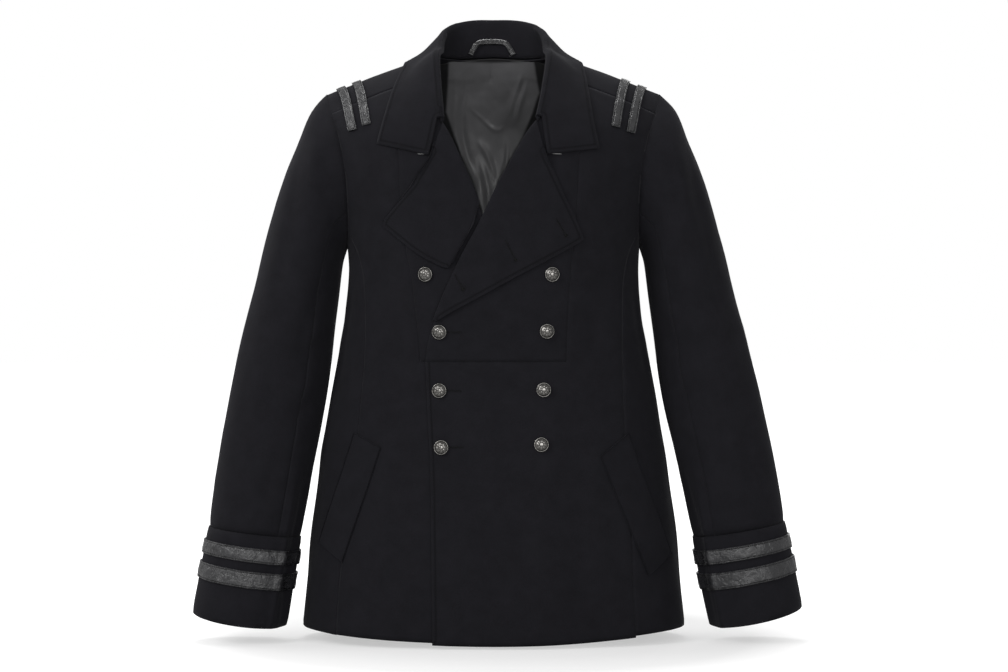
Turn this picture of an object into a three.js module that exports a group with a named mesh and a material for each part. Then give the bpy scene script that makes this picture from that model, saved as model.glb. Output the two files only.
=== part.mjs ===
// A men's double-breasted pea coat, buttoned and filled out, hollow, with open neck, hem and cuffs.
// Millimetres. +X is the wearer's left, -Y the front and +Z up. The origin lies between the shoulders,
// at the level where the collar's fall meets the shoulder ridges.
import * as THREE from 'three';

// Cloth and leather
const CLOTH = 2.0;
const FACED_CLOTH = 2.6;
const WELT_CLOTH = 2.4;
const CUFF_CLOTH = 2.2;
const LEATHER = 1.6;
const SATIN = 1.0;
const SEAM_GAP = 0.3;
const REST_GAP = 0.45;

// Where one front laps over the other
const LAP_LIFT = 2.7;
const LAP_FULL_X = 70;
const LAP_NONE_X = 104;
const LAP_TOP_Z = -100;
const LAP_FULL_Z = -185;

// Shoulders
const RIDGE_HEIGHT = 38.4;
const RIDGE_SOFTNESS = 15;
const RIDGE_SLOPE = 0.33;
const RIDGE_BEND = 0.00015;
const SHOULDER_ROUND_TIP = 110;
const SHOULDER_ROUND_NECK = 170;
const SHOULDER_WIDTH = 208;
const SHOULDER_LEVEL_Z = -60;
const ROUND_POWER = 0.6;
const BODY_POWER = 2.4;

// Armhole and the rows of cloth round it
const RING = 40;
const SHOULDER_SEAM_STEP = 5;
const SIDE_SEAM_STEP = 16;
const UNDERARM_Z = -228;

// Neck
const NECK_HALF = 76;
const NECK_TAU = 28;
const NECK_COLUMNS = 3;
const BACK_COLUMNS = 4;
const FRONT_COLUMNS = 5;
const CHEST_COLUMNS = 8;

// Hem and waist
const WAIST_Z = -370;
const LOWER_ROWS = [-236, -266, -300, -335, WAIST_Z, -412, -455, -500, -548, -598, -650, -697];
const HEM_DIP_FRONT = 11;
const HEM_DIP_BACK = 4;
const OVERLAP_DIP = 3;
const SIDE_DIP_SHARE = 0.4;
const FOLD_FULL_Z = -700;
const ROW_PASSES = 3;

// Cross-section of the body at each height
const TORSO = [
  { z: 60, half: 218, front: 128, back: 122 },
  { z: -35, half: 217, front: 130, back: 122 },
  { z: -90, half: 212, front: 133, back: 124 },
  { z: -135, half: 203, front: 135, back: 124 },
  { z: -186, half: 190, front: 134, back: 120 },
  { z: -215, half: 184, front: 133, back: 117 },
  { z: -250, half: 180.5, front: 131, back: 113 },
  { z: -294, half: 182.5, front: 128, back: 107 },
  { z: -331, half: 188, front: 124, back: 102 },
  { z: -373, half: 196, front: 120, back: 98 },
  { z: -435, half: 208, front: 118, back: 97 },
  { z: -501, half: 216, front: 119, back: 100 },
  { z: -585, half: 226, front: 122, back: 103 },
  { z: -695, half: 238, front: 126, back: 107 },
  { z: -730, half: 242, front: 128, back: 109 },
];

// Soft folds that run down from the waist, by the angle round the body from the front
const BODY_FOLDS = [
  { angle: -62, width: 16, depth: 3.0, top: -420 },
  { angle: 47, width: 13, depth: -2.2, top: -470 },
  { angle: 74, width: 15, depth: 3.2, top: -430 },
  { angle: 118, width: 15, depth: -3.0, top: -400 },
  { angle: 152, width: 14, depth: 3.4, top: -360 },
  { angle: -121, width: 15, depth: -3.2, top: -410 },
  { angle: -158, width: 14, depth: 3.0, top: -380 },
];

// Seams, as the distance from the middle at each height
const ARMHOLE = [
  { z: -20, x: 210 },
  { z: -35, x: 208 },
  { z: -49, x: 204.5 },
  { z: -68, x: 198 },
  { z: -90, x: 191 },
  { z: -112, x: 185.5 },
  { z: -136, x: 181 },
  { z: -165, x: 179 },
  { z: -190, x: 178.6 },
  { z: -212, x: 179.3 },
];
const FRONT_SIDE_SEAM = {
  left: [
    { z: -200, x: 179 },
    { z: -212, x: 175.5 },
    { z: -236, x: 166 },
    { z: -266, x: 159.5 },
    { z: -332, x: 157.5 },
    { z: -454, x: 160 },
    { z: -590, x: 169 },
    { z: -655, x: 170 },
    { z: -712, x: 174 },
  ],
  right: [
    { z: -200, x: 179 },
    { z: -212, x: 175.5 },
    { z: -236, x: 166 },
    { z: -266, x: 158.5 },
    { z: -332, x: 156 },
    { z: -454, x: 164.5 },
    { z: -586, x: 181 },
    { z: -625, x: 186 },
    { z: -712, x: 190 },
  ],
};
const BACK_SIDE_SEAM = [
  { z: -200, x: 179 },
  { z: -212, x: 173 },
  { z: -236, x: 160 },
  { z: -266, x: 148 },
  { z: -332, x: 134 },
  { z: -410, x: 131 },
  { z: -520, x: 143 },
  { z: -712, x: 166 },
];
const FRONTS = {
  left: {
    chestSeam: [
      { z: 10, x: 112 },
      { z: -60, x: 107 },
      { z: -134, x: 103.5 },
      { z: -192, x: 100 },
      { z: -233, x: 96 },
      { z: -297, x: 90.5 },
      { z: -344, x: 88.5 },
      { z: -712, x: 88 },
    ],
    neckEdge: [
      { z: 10, x: 77 },
      { z: -20, x: 76 },
      { z: -50, x: 69 },
      { z: -77, x: 57 },
      { z: -100, x: 41 },
      { z: -128, x: 25.5 },
      { z: -157, x: 9.2 },
      { z: -191, x: -5 },
      { z: -234, x: -30 },
      { z: -266, x: -45 },
      { z: -305, x: -62 },
      { z: -328, x: -74.5 },
      { z: -345, x: -79.5 },
      { z: -371, x: -81 },
    ],
    frontEdge: [
      { z: -371, x: -81 },
      { z: -412, x: -79.5 },
      { z: -455, x: -77.5 },
      { z: -510, x: -75 },
      { z: -713, x: -72.5 },
    ],
  },
  right: {
    chestSeam: [
      { z: 10, x: 121 },
      { z: -60, x: 117 },
      { z: -116, x: 114.6 },
      { z: -172, x: 111.5 },
      { z: -233, x: 105.5 },
      { z: -271, x: 97.6 },
      { z: -344, x: 90 },
      { z: -371, x: 88 },
      { z: -712, x: 88 },
    ],
    neckEdge: [
      { z: 10, x: 77 },
      { z: -20, x: 76 },
      { z: -50, x: 71.5 },
      { z: -78, x: 66 },
      { z: -100, x: 54.5 },
      { z: -128, x: 42.5 },
      { z: -150, x: 32 },
      { z: -186, x: 17 },
      { z: -200, x: 9 },
      { z: -234, x: -12 },
      { z: -280, x: -38 },
      { z: -310, x: -54 },
      { z: -330, x: -60 },
      { z: -371, x: -61 },
    ],
    frontEdge: [
      { z: -371, x: -61 },
      { z: -713, x: -60 },
    ],
  },
};

// Lapels: each row runs from the roll line to the outer edge; wrap is how far the roll turns inside
const LAPELS = {
  left: [
    { rollX: 51.2, rollZ: -80.5, edgeX: 63, edgeZ: -126.5, wrap: 0.7 },
    { rollX: 42, rollZ: -91, edgeX: 71, edgeZ: -141, wrap: 1 },
    { rollX: 32, rollZ: -108, edgeX: 80, edgeZ: -161, wrap: 1 },
    { rollX: 21, rollZ: -128, edgeX: 98.7, edgeZ: -198, wrap: 1 },
    { rollX: 12.5, rollZ: -143, edgeX: 108.5, edgeZ: -223, wrap: 1 },
    { rollX: 4, rollZ: -158, edgeX: 95, edgeZ: -231.5, wrap: 1 },
    { rollX: -6, rollZ: -180, edgeX: 72, edgeZ: -244, wrap: 1 },
    { rollX: -18, rollZ: -206, edgeX: 42, edgeZ: -260, wrap: 1 },
    { rollX: -33, rollZ: -232, edgeX: 8, edgeZ: -278.5, wrap: 1 },
    { rollX: -47, rollZ: -260, edgeX: -24, edgeZ: -296.5, wrap: 1 },
    { rollX: -60, rollZ: -289, edgeX: -48, edgeZ: -308.5, wrap: 1 },
    { rollX: -72, rollZ: -319, edgeX: -66, edgeZ: -320.5, wrap: 0.3 },
  ],
  right: [
    { rollX: 60, rollZ: -83, edgeX: 75.2, edgeZ: -127.5, wrap: 1 },
    { rollX: 54, rollZ: -92, edgeX: 86.5, edgeZ: -142, wrap: 1 },
    { rollX: 46, rollZ: -108, edgeX: 98, edgeZ: -160, wrap: 1 },
    { rollX: 38.5, rollZ: -125, edgeX: 130, edgeZ: -198, wrap: 1 },
    { rollX: 34, rollZ: -135, edgeX: 131.5, edgeZ: -206, wrap: 1 },
    { rollX: 24.5, rollZ: -155, edgeX: 112, edgeZ: -223, wrap: 1 },
    { rollX: 16, rollZ: -178, edgeX: 90, edgeZ: -241, wrap: 0.6 },
    { rollX: 22, rollZ: -205, edgeX: 74, edgeZ: -249.5, wrap: 0 },
    { rollX: 36.5, rollZ: -229, edgeX: 61, edgeZ: -256.5, wrap: 0 },
    { rollX: 48, rollZ: -250, edgeX: 54, edgeZ: -257.5, wrap: 0 },
  ],
};
const LAPEL_SEAT = 1.65;
// Section of the lapel's rolled edge: distance from the roll line and drop below the lapel's face
const LAPEL_ROLL = [
  { away: 0.6, drop: 5.0 },
  { away: 0.0, drop: 2.6 },
  { away: 1.2, drop: 0.8 },
  { away: 4.0, drop: 0 },
];
const LAPEL_ROLL_SHARE = 0.2;
const LAPEL_SHARES = [0.25, 0.44, 0.63, 0.82, 1];

// Collar: a row for each section from the middle of the back to the gorge.
// tau is the angle over the shoulder, back positive; the roll is the fold at the top of the stand.
const COLLAR_BACK = [
  {
    seamX: 0, seamTau: 28, rollX: 0, rollY: 65, rollZ: 64, midX: 0, midY: 80, midZ: 30,
    edgeX: 0, edgeTau: 51,
  },
  {
    seamX: 22, seamTau: 26.8, rollX: 19, rollY: 63.5, rollZ: 64, midX: 22, midY: 78, midZ:
    30, edgeX: 28, edgeTau: 50.5,
  },
  {
    seamX: 45, seamTau: 22.6, rollX: 37, rollY: 57, rollZ: 61.5, midX: 45, midY: 72, midZ:
    31, edgeX: 58, edgeTau: 48,
  },
  {
    seamX: 62, seamTau: 16.2, rollX: 53, rollY: 42, rollZ: 55, midX: 65, midY: 50, midZ: 31,
    edgeX: 84, edgeTau: 41,
  },
  {
    seamX: 73, seamTau: 7.8, rollX: 62, rollY: 20, rollZ: 45, midX: 79, midY: 25, midZ: 25,
    edgeX: 100, edgeTau: 25,
  },
  {
    seamX: 75.6, seamTau: 0, rollX: 64, rollY: -2, rollZ: 33.5, midX: 83.5, midY: -3, midZ:
    16.5, edgeX: 107, edgeTau: 4,
  },
  {
    seamX: 75, seamTau: -18, rollX: 64, rollY: -27, rollZ: 17, midX: 85.5, midY: -27, midZ:
    4, edgeX: 110, edgeTau: -18,
  },
];
const COLLAR_FRONT = {
  left: [
    { seamX: 74, seamTau: -38, rollX: 63, rollZ: -6, lift: 18, midX: 87, midZ: -16, edgeX: 115, edgeZ: -40 },
    {
      seamX: 69, seamTau: -53, rollX: 60, rollZ: -37, lift: 9, midX: 83, midZ: -58, edgeX:
      119.5, edgeZ: -76,
    },
    {
      seamX: 61, seamTau: -64, rollX: 56, rollZ: -61, lift: 6.6, midX: 73, midZ: -95, edgeX:
      124, edgeZ: -100,
    },
    {
      seamX: 53.5, seamTau: -69.5, rollX: 52.4, rollZ: -76, lift: 5.6, midX: 64.3, midZ:
      -122, edgeX: 127, edgeZ: -113.5,
    },
  ],
  right: [
    { seamX: 74, seamTau: -38, rollX: 64, rollZ: -6, lift: 18, midX: 89, midZ: -16, edgeX: 121, edgeZ: -38 },
    {
      seamX: 70.5, seamTau: -53, rollX: 63.5, rollZ: -37, lift: 9, midX: 88, midZ: -58,
      edgeX: 129, edgeZ: -68,
    },
    {
      seamX: 66, seamTau: -64, rollX: 62, rollZ: -61, lift: 6.3, midX: 81, midZ: -96, edgeX:
      135.5, edgeZ: -92,
    },
    {
      seamX: 61.5, seamTau: -70, rollX: 61, rollZ: -78, lift: 5.4, midX: 76.3, midZ: -123,
      edgeX: 140, edgeZ: -107.5,
    },
  ],
};
const COLLAR_LEAF_LIFT = 0.5;
const COLLAR_SPLITS = 2;
const COLLAR_ROLL_RADIUS = 3.4;
// Section of the roll: distances towards the fall and up from the fold's top, as shares of its radius
const COLLAR_CREST = [
  { out: 0, up: -1 },
  { out: 0.3, up: -0.3 },
  { out: 1, up: 0 },
  { out: 1.7, up: -0.3 },
];
const COLLAR_SEAT = 1.5;
const COLLAR_SEAM_RISE = 1.6;

// Sleeve rings below the armhole: outer and inner points of the outline, half the depth, and the middle's Y
const SLEEVE = [
  { outX: 228.5, outZ: -55.5, inX: 184.5, inZ: -236, half: 77, y: 1 },
  { outX: 240.5, outZ: -89, inX: 187, inZ: -243, half: 77, y: 0 },
  { outX: 256, outZ: -126, inX: 188.5, inZ: -251, half: 75, y: -1 },
  { outX: 271, outZ: -170, inX: 190, inZ: -264, half: 72, y: -3 },
  { outX: 284.5, outZ: -221, inX: 192, inZ: -288, half: 69, y: -5 },
  { outX: 298, outZ: -281, inX: 196.5, inZ: -326, half: 66, y: -8 },
  { outX: 313, outZ: -344, inX: 202, inZ: -375, half: 63.5, y: -12 },
  { outX: 327, outZ: -407, inX: 209.5, inZ: -430, half: 61, y: -17 },
  { outX: 339, outZ: -475, inX: 220.5, inZ: -488, half: 57.5, y: -23 },
  { outX: 347.5, outZ: -532, inX: 230, inZ: -541, half: 54, y: -28 },
  { outX: 352, outZ: -573, inX: 238, inZ: -587, half: 51, y: -32 },
];
const CUFF_RINGS = [
  { outX: 353.5, outZ: -573.5, inX: 236.7, inZ: -587.5, half: 52.6, y: -32 },
  { outX: 358.5, outZ: -605, inX: 241.5, inZ: -621, half: 51.5, y: -35 },
  { outX: 364.5, outZ: -640, inX: 248, inZ: -657, half: 50.5, y: -38 },
  { outX: 370.5, outZ: -677.5, inX: 254.5, inZ: -694.5, half: 49.5, y: -41 },
];
const CUFF_SPLAY_LEFT = 10;
const CUFF_RAISE_LEFT = 7;
const CUFF_TILT = 5;
const CUFF_ROW_COUNT = 3;
const TOP_SLEEVE = { from: -13, to: 14 };
const SLEEVE_STEP_LENGTH = 10;
const STRIPES = { upper: { from: 0.16, to: 0.33 }, lower: { from: 0.43, to: 0.61 } };

// Soft hollows across the sleeve: place along it, place round it in degrees, size and depth
const SLEEVE_FOLDS = [
  { along: 4.6, round: 150, length: 0.8, width: 34, depth: -2.6 },
  { along: 7.4, round: 120, length: 0.7, width: 40, depth: -2.8 },
  { along: 8.3, round: 60, length: 0.6, width: 34, depth: -1.8 },
  { along: 6.6, round: 215, length: 0.7, width: 38, depth: 2.0 },
  { along: 5.6, round: 300, length: 0.9, width: 30, depth: -2.2 },
];

// Shoulder straps: middle at the ridge and at the front end
const STRAPS = {
  left: {
    inner: { ridgeX: 166, endX: 147.5, endZ: -86 },
    outer: { ridgeX: 186.5, endX: 166.5, endZ: -92 },
  },
  right: {
    inner: { ridgeX: 172, endX: 153, endZ: -83 },
    outer: { ridgeX: 191.5, endX: 170.5, endZ: -89 },
  },
};
const STRAP_BEND = 1.2;
const STRAP_WIDTH = 10.4;
const STRAP_ROWS = 12;
const STRAP_BACK_SHARE = 0.55;

// Pocket welts: corners on the front
const WELTS = {
  left: {
    topInX: 129, topInZ: -484, topOutX: 164, topOutZ: -457, lowInX: 188, lowInZ:
    -630, lowOutX: 216, lowOutZ: -607,
  },
  right: {
    topInX: 135, topInZ: -474, topOutX: 168, topOutZ: -457, lowInX: 182, lowInZ:
    -614, lowOutX: 212, lowOutZ: -592,
  },
};
const WELT_COLUMNS = 3;
const WELT_ROWS = 9;

// Lining, hanger loop and buttons
const LINING_LOW_Z = -300;
const LINING_HALF = 140;
const LINING_INSET_TOP = 1.2;
const LINING_INSET_LOW = 4.2;
const LINING_SHARE = 0.7;
const LINING_TOP_DROP = 3;
const LINING_ROW_POWER = 1.2;
const LINING_SHOULDER_SHARE = 0.02;
const LINING_COLUMNS = 12;
const LINING_ROWS = 10;
const LOOP_WIDTH = 6.6;
const LOOP_THICKNESS = 2.0;
const LOOP_STEPS = 28;
const LOOP_PATH = [
  { x: -29, y: 41.6, z: 17.5 },
  { x: -25.5, y: 44.7, z: 25 },
  { x: -21.5, y: 47.2, z: 31.4 },
  { x: -15, y: 49.5, z: 34.3 },
  { x: -2, y: 50.6, z: 34.8 },
  { x: 10, y: 49.8, z: 34.3 },
  { x: 16.5, y: 47.9, z: 31.4 },
  { x: 20.8, y: 45.8, z: 25 },
  { x: 25, y: 42.8, z: 17.5 },
];
const BUTTONS = [
  { name: 'button_right_1', x: -81, z: -265, front: 'right' },
  { name: 'button_right_2', x: -64, z: -334, front: 'left' },
  { name: 'button_right_3', x: -64.3, z: -404.5, front: 'left' },
  { name: 'button_right_4', x: -62, z: -473, front: 'left' },
  { name: 'button_left_1', x: 70, z: -265, front: 'left' },
  { name: 'button_left_2', x: 64, z: -333, front: 'left' },
  { name: 'button_left_3', x: 60.2, z: -403.5, front: 'left' },
  { name: 'button_left_4', x: 57.5, z: -469.5, front: 'left' },
];
const BUTTON_RADIUS = 8.9;
const BUTTON_SIDES = 14;
const BUTTON_SEAT = 0.35;
// Button section from the shank to the crown: radius and height above the seat
const BUTTON_SECTION = [
  { radius: 0, height: 0 },
  { radius: 0.36, height: 0 },
  { radius: 0.36, height: 1.6 },
  { radius: 0.94, height: 1.9 },
  { radius: 1, height: 3.0 },
  { radius: 0.84, height: 3.5 },
  { radius: 0.6, height: 4.9 },
  { radius: 0.3, height: 5.7 },
  { radius: 0, height: 5.9 },
];

const WOOL = new THREE.MeshStandardMaterial({ color: 0x26262c, roughness: 0.95, metalness: 0 });
const LINING = new THREE.MeshStandardMaterial({ color: 0x4a4a50, roughness: 0.4, metalness: 0 });
const HIDE = new THREE.MeshStandardMaterial({ color: 0x5c5c5e, roughness: 0.45, metalness: 0 });
const METAL = new THREE.MeshStandardMaterial({ color: 0xb4b2ab, roughness: 0.32, metalness: 0.95 });

const coat = new THREE.Group();
const RADIANS = Math.PI / 180;
const NUDGE = 0.05;
const clamp = THREE.MathUtils.clamp;
const lerp = THREE.MathUtils.lerp;
const vector = (x, y, z) => new THREE.Vector3(x, y, z);
const times = (count, make) => Array.from({ length: count }, (unused, i) => make(i));
const sideSign = (name) => (name === 'left' ? 1 : -1);

function ease(from, to, at) {
  const share = clamp((at - from) / (to - from), 0, 1);
  return share * share * (3 - 2 * share);
}

// Reads one column of a table at any value of its key column, on a smooth curve without overshoot
function reader(rows, key, column) {
  const sorted = [...rows].sort((a, b) => a[key] - b[key]);
  const at = sorted.map((row) => row[key]);
  const value = sorted.map((row) => row[column]);
  const last = at.length - 1;
  const slopes = value.slice(1).map((v, i) => (v - value[i]) / (at[i + 1] - at[i]));
  const tangents = value.map((v, i) => {
    if (i === 0) return slopes[0];
    if (i === last) return slopes[last - 1];
    const before = slopes[i - 1];
    const after = slopes[i];
    return before * after <= 0 ? 0 : (2 * before * after) / (before + after);
  });
  return (x) => {
    const wanted = clamp(x, at[0], at[last]);
    let i = 0;
    while (i < last - 1 && wanted > at[i + 1]) i += 1;
    const span = at[i + 1] - at[i];
    const t = (wanted - at[i]) / span;
    const rise = value[i + 1] - value[i];
    const bend = tangents[i] * span - rise;
    const turn = -tangents[i + 1] * span + rise;
    return lerp(value[i], value[i + 1], t) + t * (1 - t) * (bend * (1 - t) + turn * t);
  };
}

const halfWidth = reader(TORSO, 'z', 'half');
const depthFront = reader(TORSO, 'z', 'front');
const depthBack = reader(TORSO, 'z', 'back');
const underarmHalf = halfWidth(UNDERARM_Z);
const armholeX = reader([...ARMHOLE, { z: UNDERARM_Z, x: underarmHalf }], 'z', 'x');
const frontSideX = {
  left: reader(FRONT_SIDE_SEAM.left, 'z', 'x'),
  right: reader(FRONT_SIDE_SEAM.right, 'z', 'x'),
};
const backSideX = reader(BACK_SIDE_SEAM, 'z', 'x');

// Height of the shoulder ridge
function ridge(x) {
  return RIDGE_HEIGHT - RIDGE_SLOPE * Math.hypot(x, RIDGE_SOFTNESS) - RIDGE_BEND * x * x;
}

// How far below the ridge the cloth reaches the full depth of the body
function roundDrop(x) {
  return lerp(SHOULDER_ROUND_NECK, SHOULDER_ROUND_TIP, clamp(Math.abs(x) / SHOULDER_WIDTH, 0, 1));
}

// Y of the body's surface; face is -1 on the front and +1 on the back
function depthAt(x, z, face) {
  const across = Math.min(Math.abs(x) / halfWidth(z), 1);
  const left = 1 - clamp((ridge(x) - z) / roundDrop(x), 0, 1);
  const full = face < 0 ? depthFront(z) : depthBack(z);
  return face * full * (1 - across ** BODY_POWER) ** (1 / BODY_POWER) * (1 - left * left) ** ROUND_POWER;
}

// Soft folds below the waist
function foldAt(point) {
  const angle = Math.atan2(point.x, -point.y) / RADIANS;
  let sum = 0;
  for (const fold of BODY_FOLDS) {
    const turn = ((angle - fold.angle + 540) % 360) - 180;
    const depth = fold.depth * ease(fold.top, FOLD_FULL_Z, point.z);
    sum += depth * Math.exp(-((turn / fold.width) ** 2));
  }
  return sum;
}

function place(base, normal, out) {
  return base.clone().addScaledVector(normal, out + foldAt(base));
}

// A point of the body's surface, moved out along its normal
function onBody(x, z, face, out = 0) {
  const base = vector(x, depthAt(x, z, face), z);
  const level = z - ridge(x);
  const sideways = [-NUDGE, NUDGE].map((step) => {
    const height = ridge(x + step) + level;
    return vector(x + step, depthAt(x + step, height, face), height);
  });
  const across = sideways[1].sub(sideways[0]);
  const upward = base.clone().sub(vector(x, depthAt(x, z - NUDGE, face), z - NUDGE));
  const normal = across.cross(upward).multiplyScalar(-face).normalize();
  return { point: place(base, normal, out), normal };
}

// A point of the body's side at an angle from the front, which no shoulder reaches
function onSide(angle, z, out = 0) {
  const at = (turn, height) => {
    const sine = Math.sin(turn * RADIANS);
    const cosine = Math.cos(turn * RADIANS);
    const depth = cosine > 0 ? depthFront(height) : depthBack(height);
    const sum = (Math.abs(sine) / halfWidth(height)) ** BODY_POWER + (Math.abs(cosine) / depth) ** BODY_POWER;
    const radius = sum ** (-1 / BODY_POWER);
    return vector(radius * sine, -radius * cosine, height);
  };
  const base = at(angle, z);
  const across = at(angle + NUDGE, z).sub(at(angle - NUDGE, z));
  const upward = at(angle, z + NUDGE).sub(at(angle, z - NUDGE));
  const normal = across.cross(upward).normalize();
  return { point: place(base, normal, out), normal };
}

// A point over the shoulder: tau is 0 on the ridge and 90 where the body reaches its full depth
function overShoulder(x, tau, out = 0) {
  const z = ridge(x) - roundDrop(x) * (1 - Math.cos(tau * RADIANS));
  return onBody(x, z, tau < 0 ? -1 : 1, out);
}

// The armhole, from 0 at the ridge round the front to the underarm and up the back
const armholeTop = ridge(SHOULDER_WIDTH);
function armholeZ(step) {
  const turn = (2 * Math.PI * step) / RING;
  return lerp(UNDERARM_Z, armholeTop, (1 + Math.cos(turn)) / 2);
}

function armholePoint(side, step) {
  const z = armholeZ(step);
  const x = step === 0 ? SHOULDER_WIDTH : armholeX(z);
  const face = step < RING / 2 ? -1 : 1;
  return vector(side * x, depthAt(x, z, face), z);
}

// Turns a grid of outer points into a closed wall of cloth with the given thickness.
// keep(i, j) leaves cells out, and a ring joins its last column to its first.
function wall(name, material, grid, thickness, options = {}) {
  const { keep = () => true, ring = false, turned = false } = options;
  const rows = grid.length;
  const columns = grid[0].length;
  const cellColumns = ring ? columns : columns - 1;
  const index = (i, j) => j * columns + (i % columns);
  const kept = (i, j) => {
    const column = ring ? (i + columns) % columns : i;
    return column >= 0 && column < cellColumns && j >= 0 && j < rows - 1 && keep(column, j);
  };
  const faces = [];
  const quad = (a, b, c, d) => faces.push([a, b, c], [a, c, d]);
  const inner = rows * columns;
  for (let j = 0; j < rows - 1; j += 1) {
    for (let i = 0; i < cellColumns; i += 1) {
      if (!kept(i, j)) continue;
      const corners = [index(i, j), index(i + 1, j), index(i + 1, j + 1), index(i, j + 1)];
      const sides = [kept(i, j - 1), kept(i + 1, j), kept(i, j + 1), kept(i - 1, j)];
      quad(...corners);
      quad(...corners.map((k) => k + inner).reverse());
      corners.forEach((from, side) => {
        const to = corners[(side + 1) % 4];
        if (!sides[side]) quad(to, from, from + inner, to + inner);
      });
    }
  }
  const points = grid.flat().map((spot) => spot.point);
  const normals = grid.flat().map((spot) => spot.normal);
  if (normals.some((normal) => !normal)) averageNormals(points, normals, faces, inner, turned ? -1 : 1);
  const inside = points.map((point, k) => point.clone().addScaledVector(normals[k], -thickness));
  addMesh(name, material, [...points, ...inside], faces);
}

// Normals of the outer points, from the faces round them, pointing out of the wall
function averageNormals(points, normals, faces, inner, sign) {
  const sums = points.map(() => vector(0, 0, 0));
  for (const [a, b, c] of faces) {
    if (a >= inner || b >= inner || c >= inner) continue;
    const normal = points[b].clone().sub(points[a]).cross(points[c].clone().sub(points[a]));
    [a, b, c].forEach((k) => sums[k].add(normal));
  }
  sums.forEach((sum, k) => {
    normals[k] = normals[k] || sum.normalize().multiplyScalar(sign);
  });
}

function addMesh(name, material, points, faces) {
  const used = new Map();
  const positions = [];
  const order = faces.flat().map((k) => {
    if (!used.has(k)) {
      used.set(k, used.size);
      positions.push(...points[k].toArray());
    }
    return used.get(k);
  });
  const volume = faces.reduce((sum, [a, b, c]) => sum + points[a].dot(points[b].clone().cross(points[c])), 0);
  if (volume < 0) {
    for (let k = 0; k < order.length; k += 3) [order[k], order[k + 1]] = [order[k + 1], order[k]];
  }
  const geometry = new THREE.BufferGeometry();
  geometry.setAttribute('position', new THREE.Float32BufferAttribute(positions, 3));
  geometry.setIndex(order);
  geometry.computeVertexNormals();
  const mesh = new THREE.Mesh(geometry, material);
  mesh.name = name;
  coat.add(mesh);
}

// Rows of the body panels: the height at the outer boundary, and how much each row follows the shoulder
const ARM_ROWS = [];
for (let step = SHOULDER_SEAM_STEP; step <= SIDE_SEAM_STEP; step += 1) ARM_ROWS.push(armholeZ(step));
const BACK_ARM_ROWS = [];
for (let step = 0; step <= SIDE_SEAM_STEP; step += 1) BACK_ARM_ROWS.push(armholeZ(step));
const SIDE_START = armholeZ(SIDE_SEAM_STEP);
const HEM_Z = LOWER_ROWS[LOWER_ROWS.length - 1];

function rowHeight(rowZ, outerX, x, hemDip) {
  const follow = 1 - ease(SHOULDER_LEVEL_Z, SIDE_START, rowZ);
  const dip = hemDip * ease(WAIST_Z, HEM_Z, rowZ) * (1 - (x / halfWidth(HEM_Z)) ** 2);
  return rowZ + (ridge(x) - ridge(outerX)) * follow - dip;
}

function outerX(rowZ, sideSeam) {
  return rowZ >= SIDE_START ? armholeX(rowZ) : sideSeam(rowZ);
}

// Lift of the overlapping front
function lapLift(front, x, z) {
  if (front !== 'left') return 0;
  return LAP_LIFT * ease(LAP_NONE_X, LAP_FULL_X, x) * ease(LAP_TOP_Z, LAP_FULL_Z, z);
}

// Distance from the middle of column i of a front: the chest columns first, then the outer ones
function frontColumn(shape, i, z, rowZ, gaps) {
  const chest = shape.chest(z);
  if (i <= CHEST_COLUMNS) {
    const inside = rowZ > WAIST_Z ? shape.neck(z) : shape.edge(z);
    return lerp(inside, chest + gaps.chest, i / CHEST_COLUMNS);
  }
  const outside = outerX(rowZ, shape.side) - (rowZ < SIDE_START ? SEAM_GAP / 2 : 0);
  return lerp(chest + gaps.chest, outside, (i - CHEST_COLUMNS) / FRONT_COLUMNS);
}

function frontSpot(name, shape, i, rowZ, gaps) {
  const rowOut = outerX(rowZ, shape.side);
  const hemDip = HEM_DIP_FRONT + (name === 'left' ? OVERLAP_DIP : 0);
  let z = rowZ;
  for (let pass = 0; pass < ROW_PASSES; pass += 1) {
    z = rowHeight(rowZ, rowOut, frontColumn(shape, i, z, rowZ, gaps), hemDip) + gaps.height;
  }
  const x = frontColumn(shape, i, z, rowZ, gaps);
  return onBody(sideSign(name) * x, z, -1, lapLift(name, x, z));
}

function buildFront(name) {
  const table = FRONTS[name];
  const shape = {
    chest: reader(table.chestSeam, 'z', 'x'),
    neck: reader(table.neckEdge, 'z', 'x'),
    edge: reader(table.frontEdge, 'z', 'x'),
    side: frontSideX[name],
  };
  const rows = [...ARM_ROWS, ...LOWER_ROWS];
  const waistRow = rows.indexOf(WAIST_Z);
  const columns = CHEST_COLUMNS + FRONT_COLUMNS;
  const half = SEAM_GAP / 2;
  const grid = rows.map((rowZ, j) => {
    const gaps = { chest: half, height: j === 0 ? -half : 0 };
    if (j === waistRow) gaps.height = -half;
    return times(columns + 1, (i) => frontSpot(name, shape, i, rowZ, gaps));
  });
  wall(`front_${name}`, WOOL, grid, CLOTH, { keep: (i, j) => i >= CHEST_COLUMNS || j >= waistRow });
  const chestGrid = rows.slice(0, waistRow + 1).map((rowZ, j) => {
    const gaps = { chest: -half, height: j === 0 ? -half : 0 };
    if (j === waistRow) gaps.height = half;
    return times(CHEST_COLUMNS + 1, (i) => frontSpot(name, shape, i, rowZ, gaps));
  });
  wall(`chest_${name}`, WOOL, chestGrid, CLOTH);
}

// The back hangs from the forward shoulder seams and the neck
function backColumn(i, rowZ) {
  const away = Math.abs(i - NECK_COLUMNS - BACK_COLUMNS);
  const sign = Math.sign(i - NECK_COLUMNS - BACK_COLUMNS);
  if (away <= NECK_COLUMNS) return (sign * NECK_HALF * away) / NECK_COLUMNS;
  const outside = outerX(rowZ, backSideX) - (rowZ < SIDE_START ? SEAM_GAP / 2 : 0);
  return sign * lerp(NECK_HALF, outside, (away - NECK_COLUMNS) / BACK_COLUMNS);
}

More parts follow.
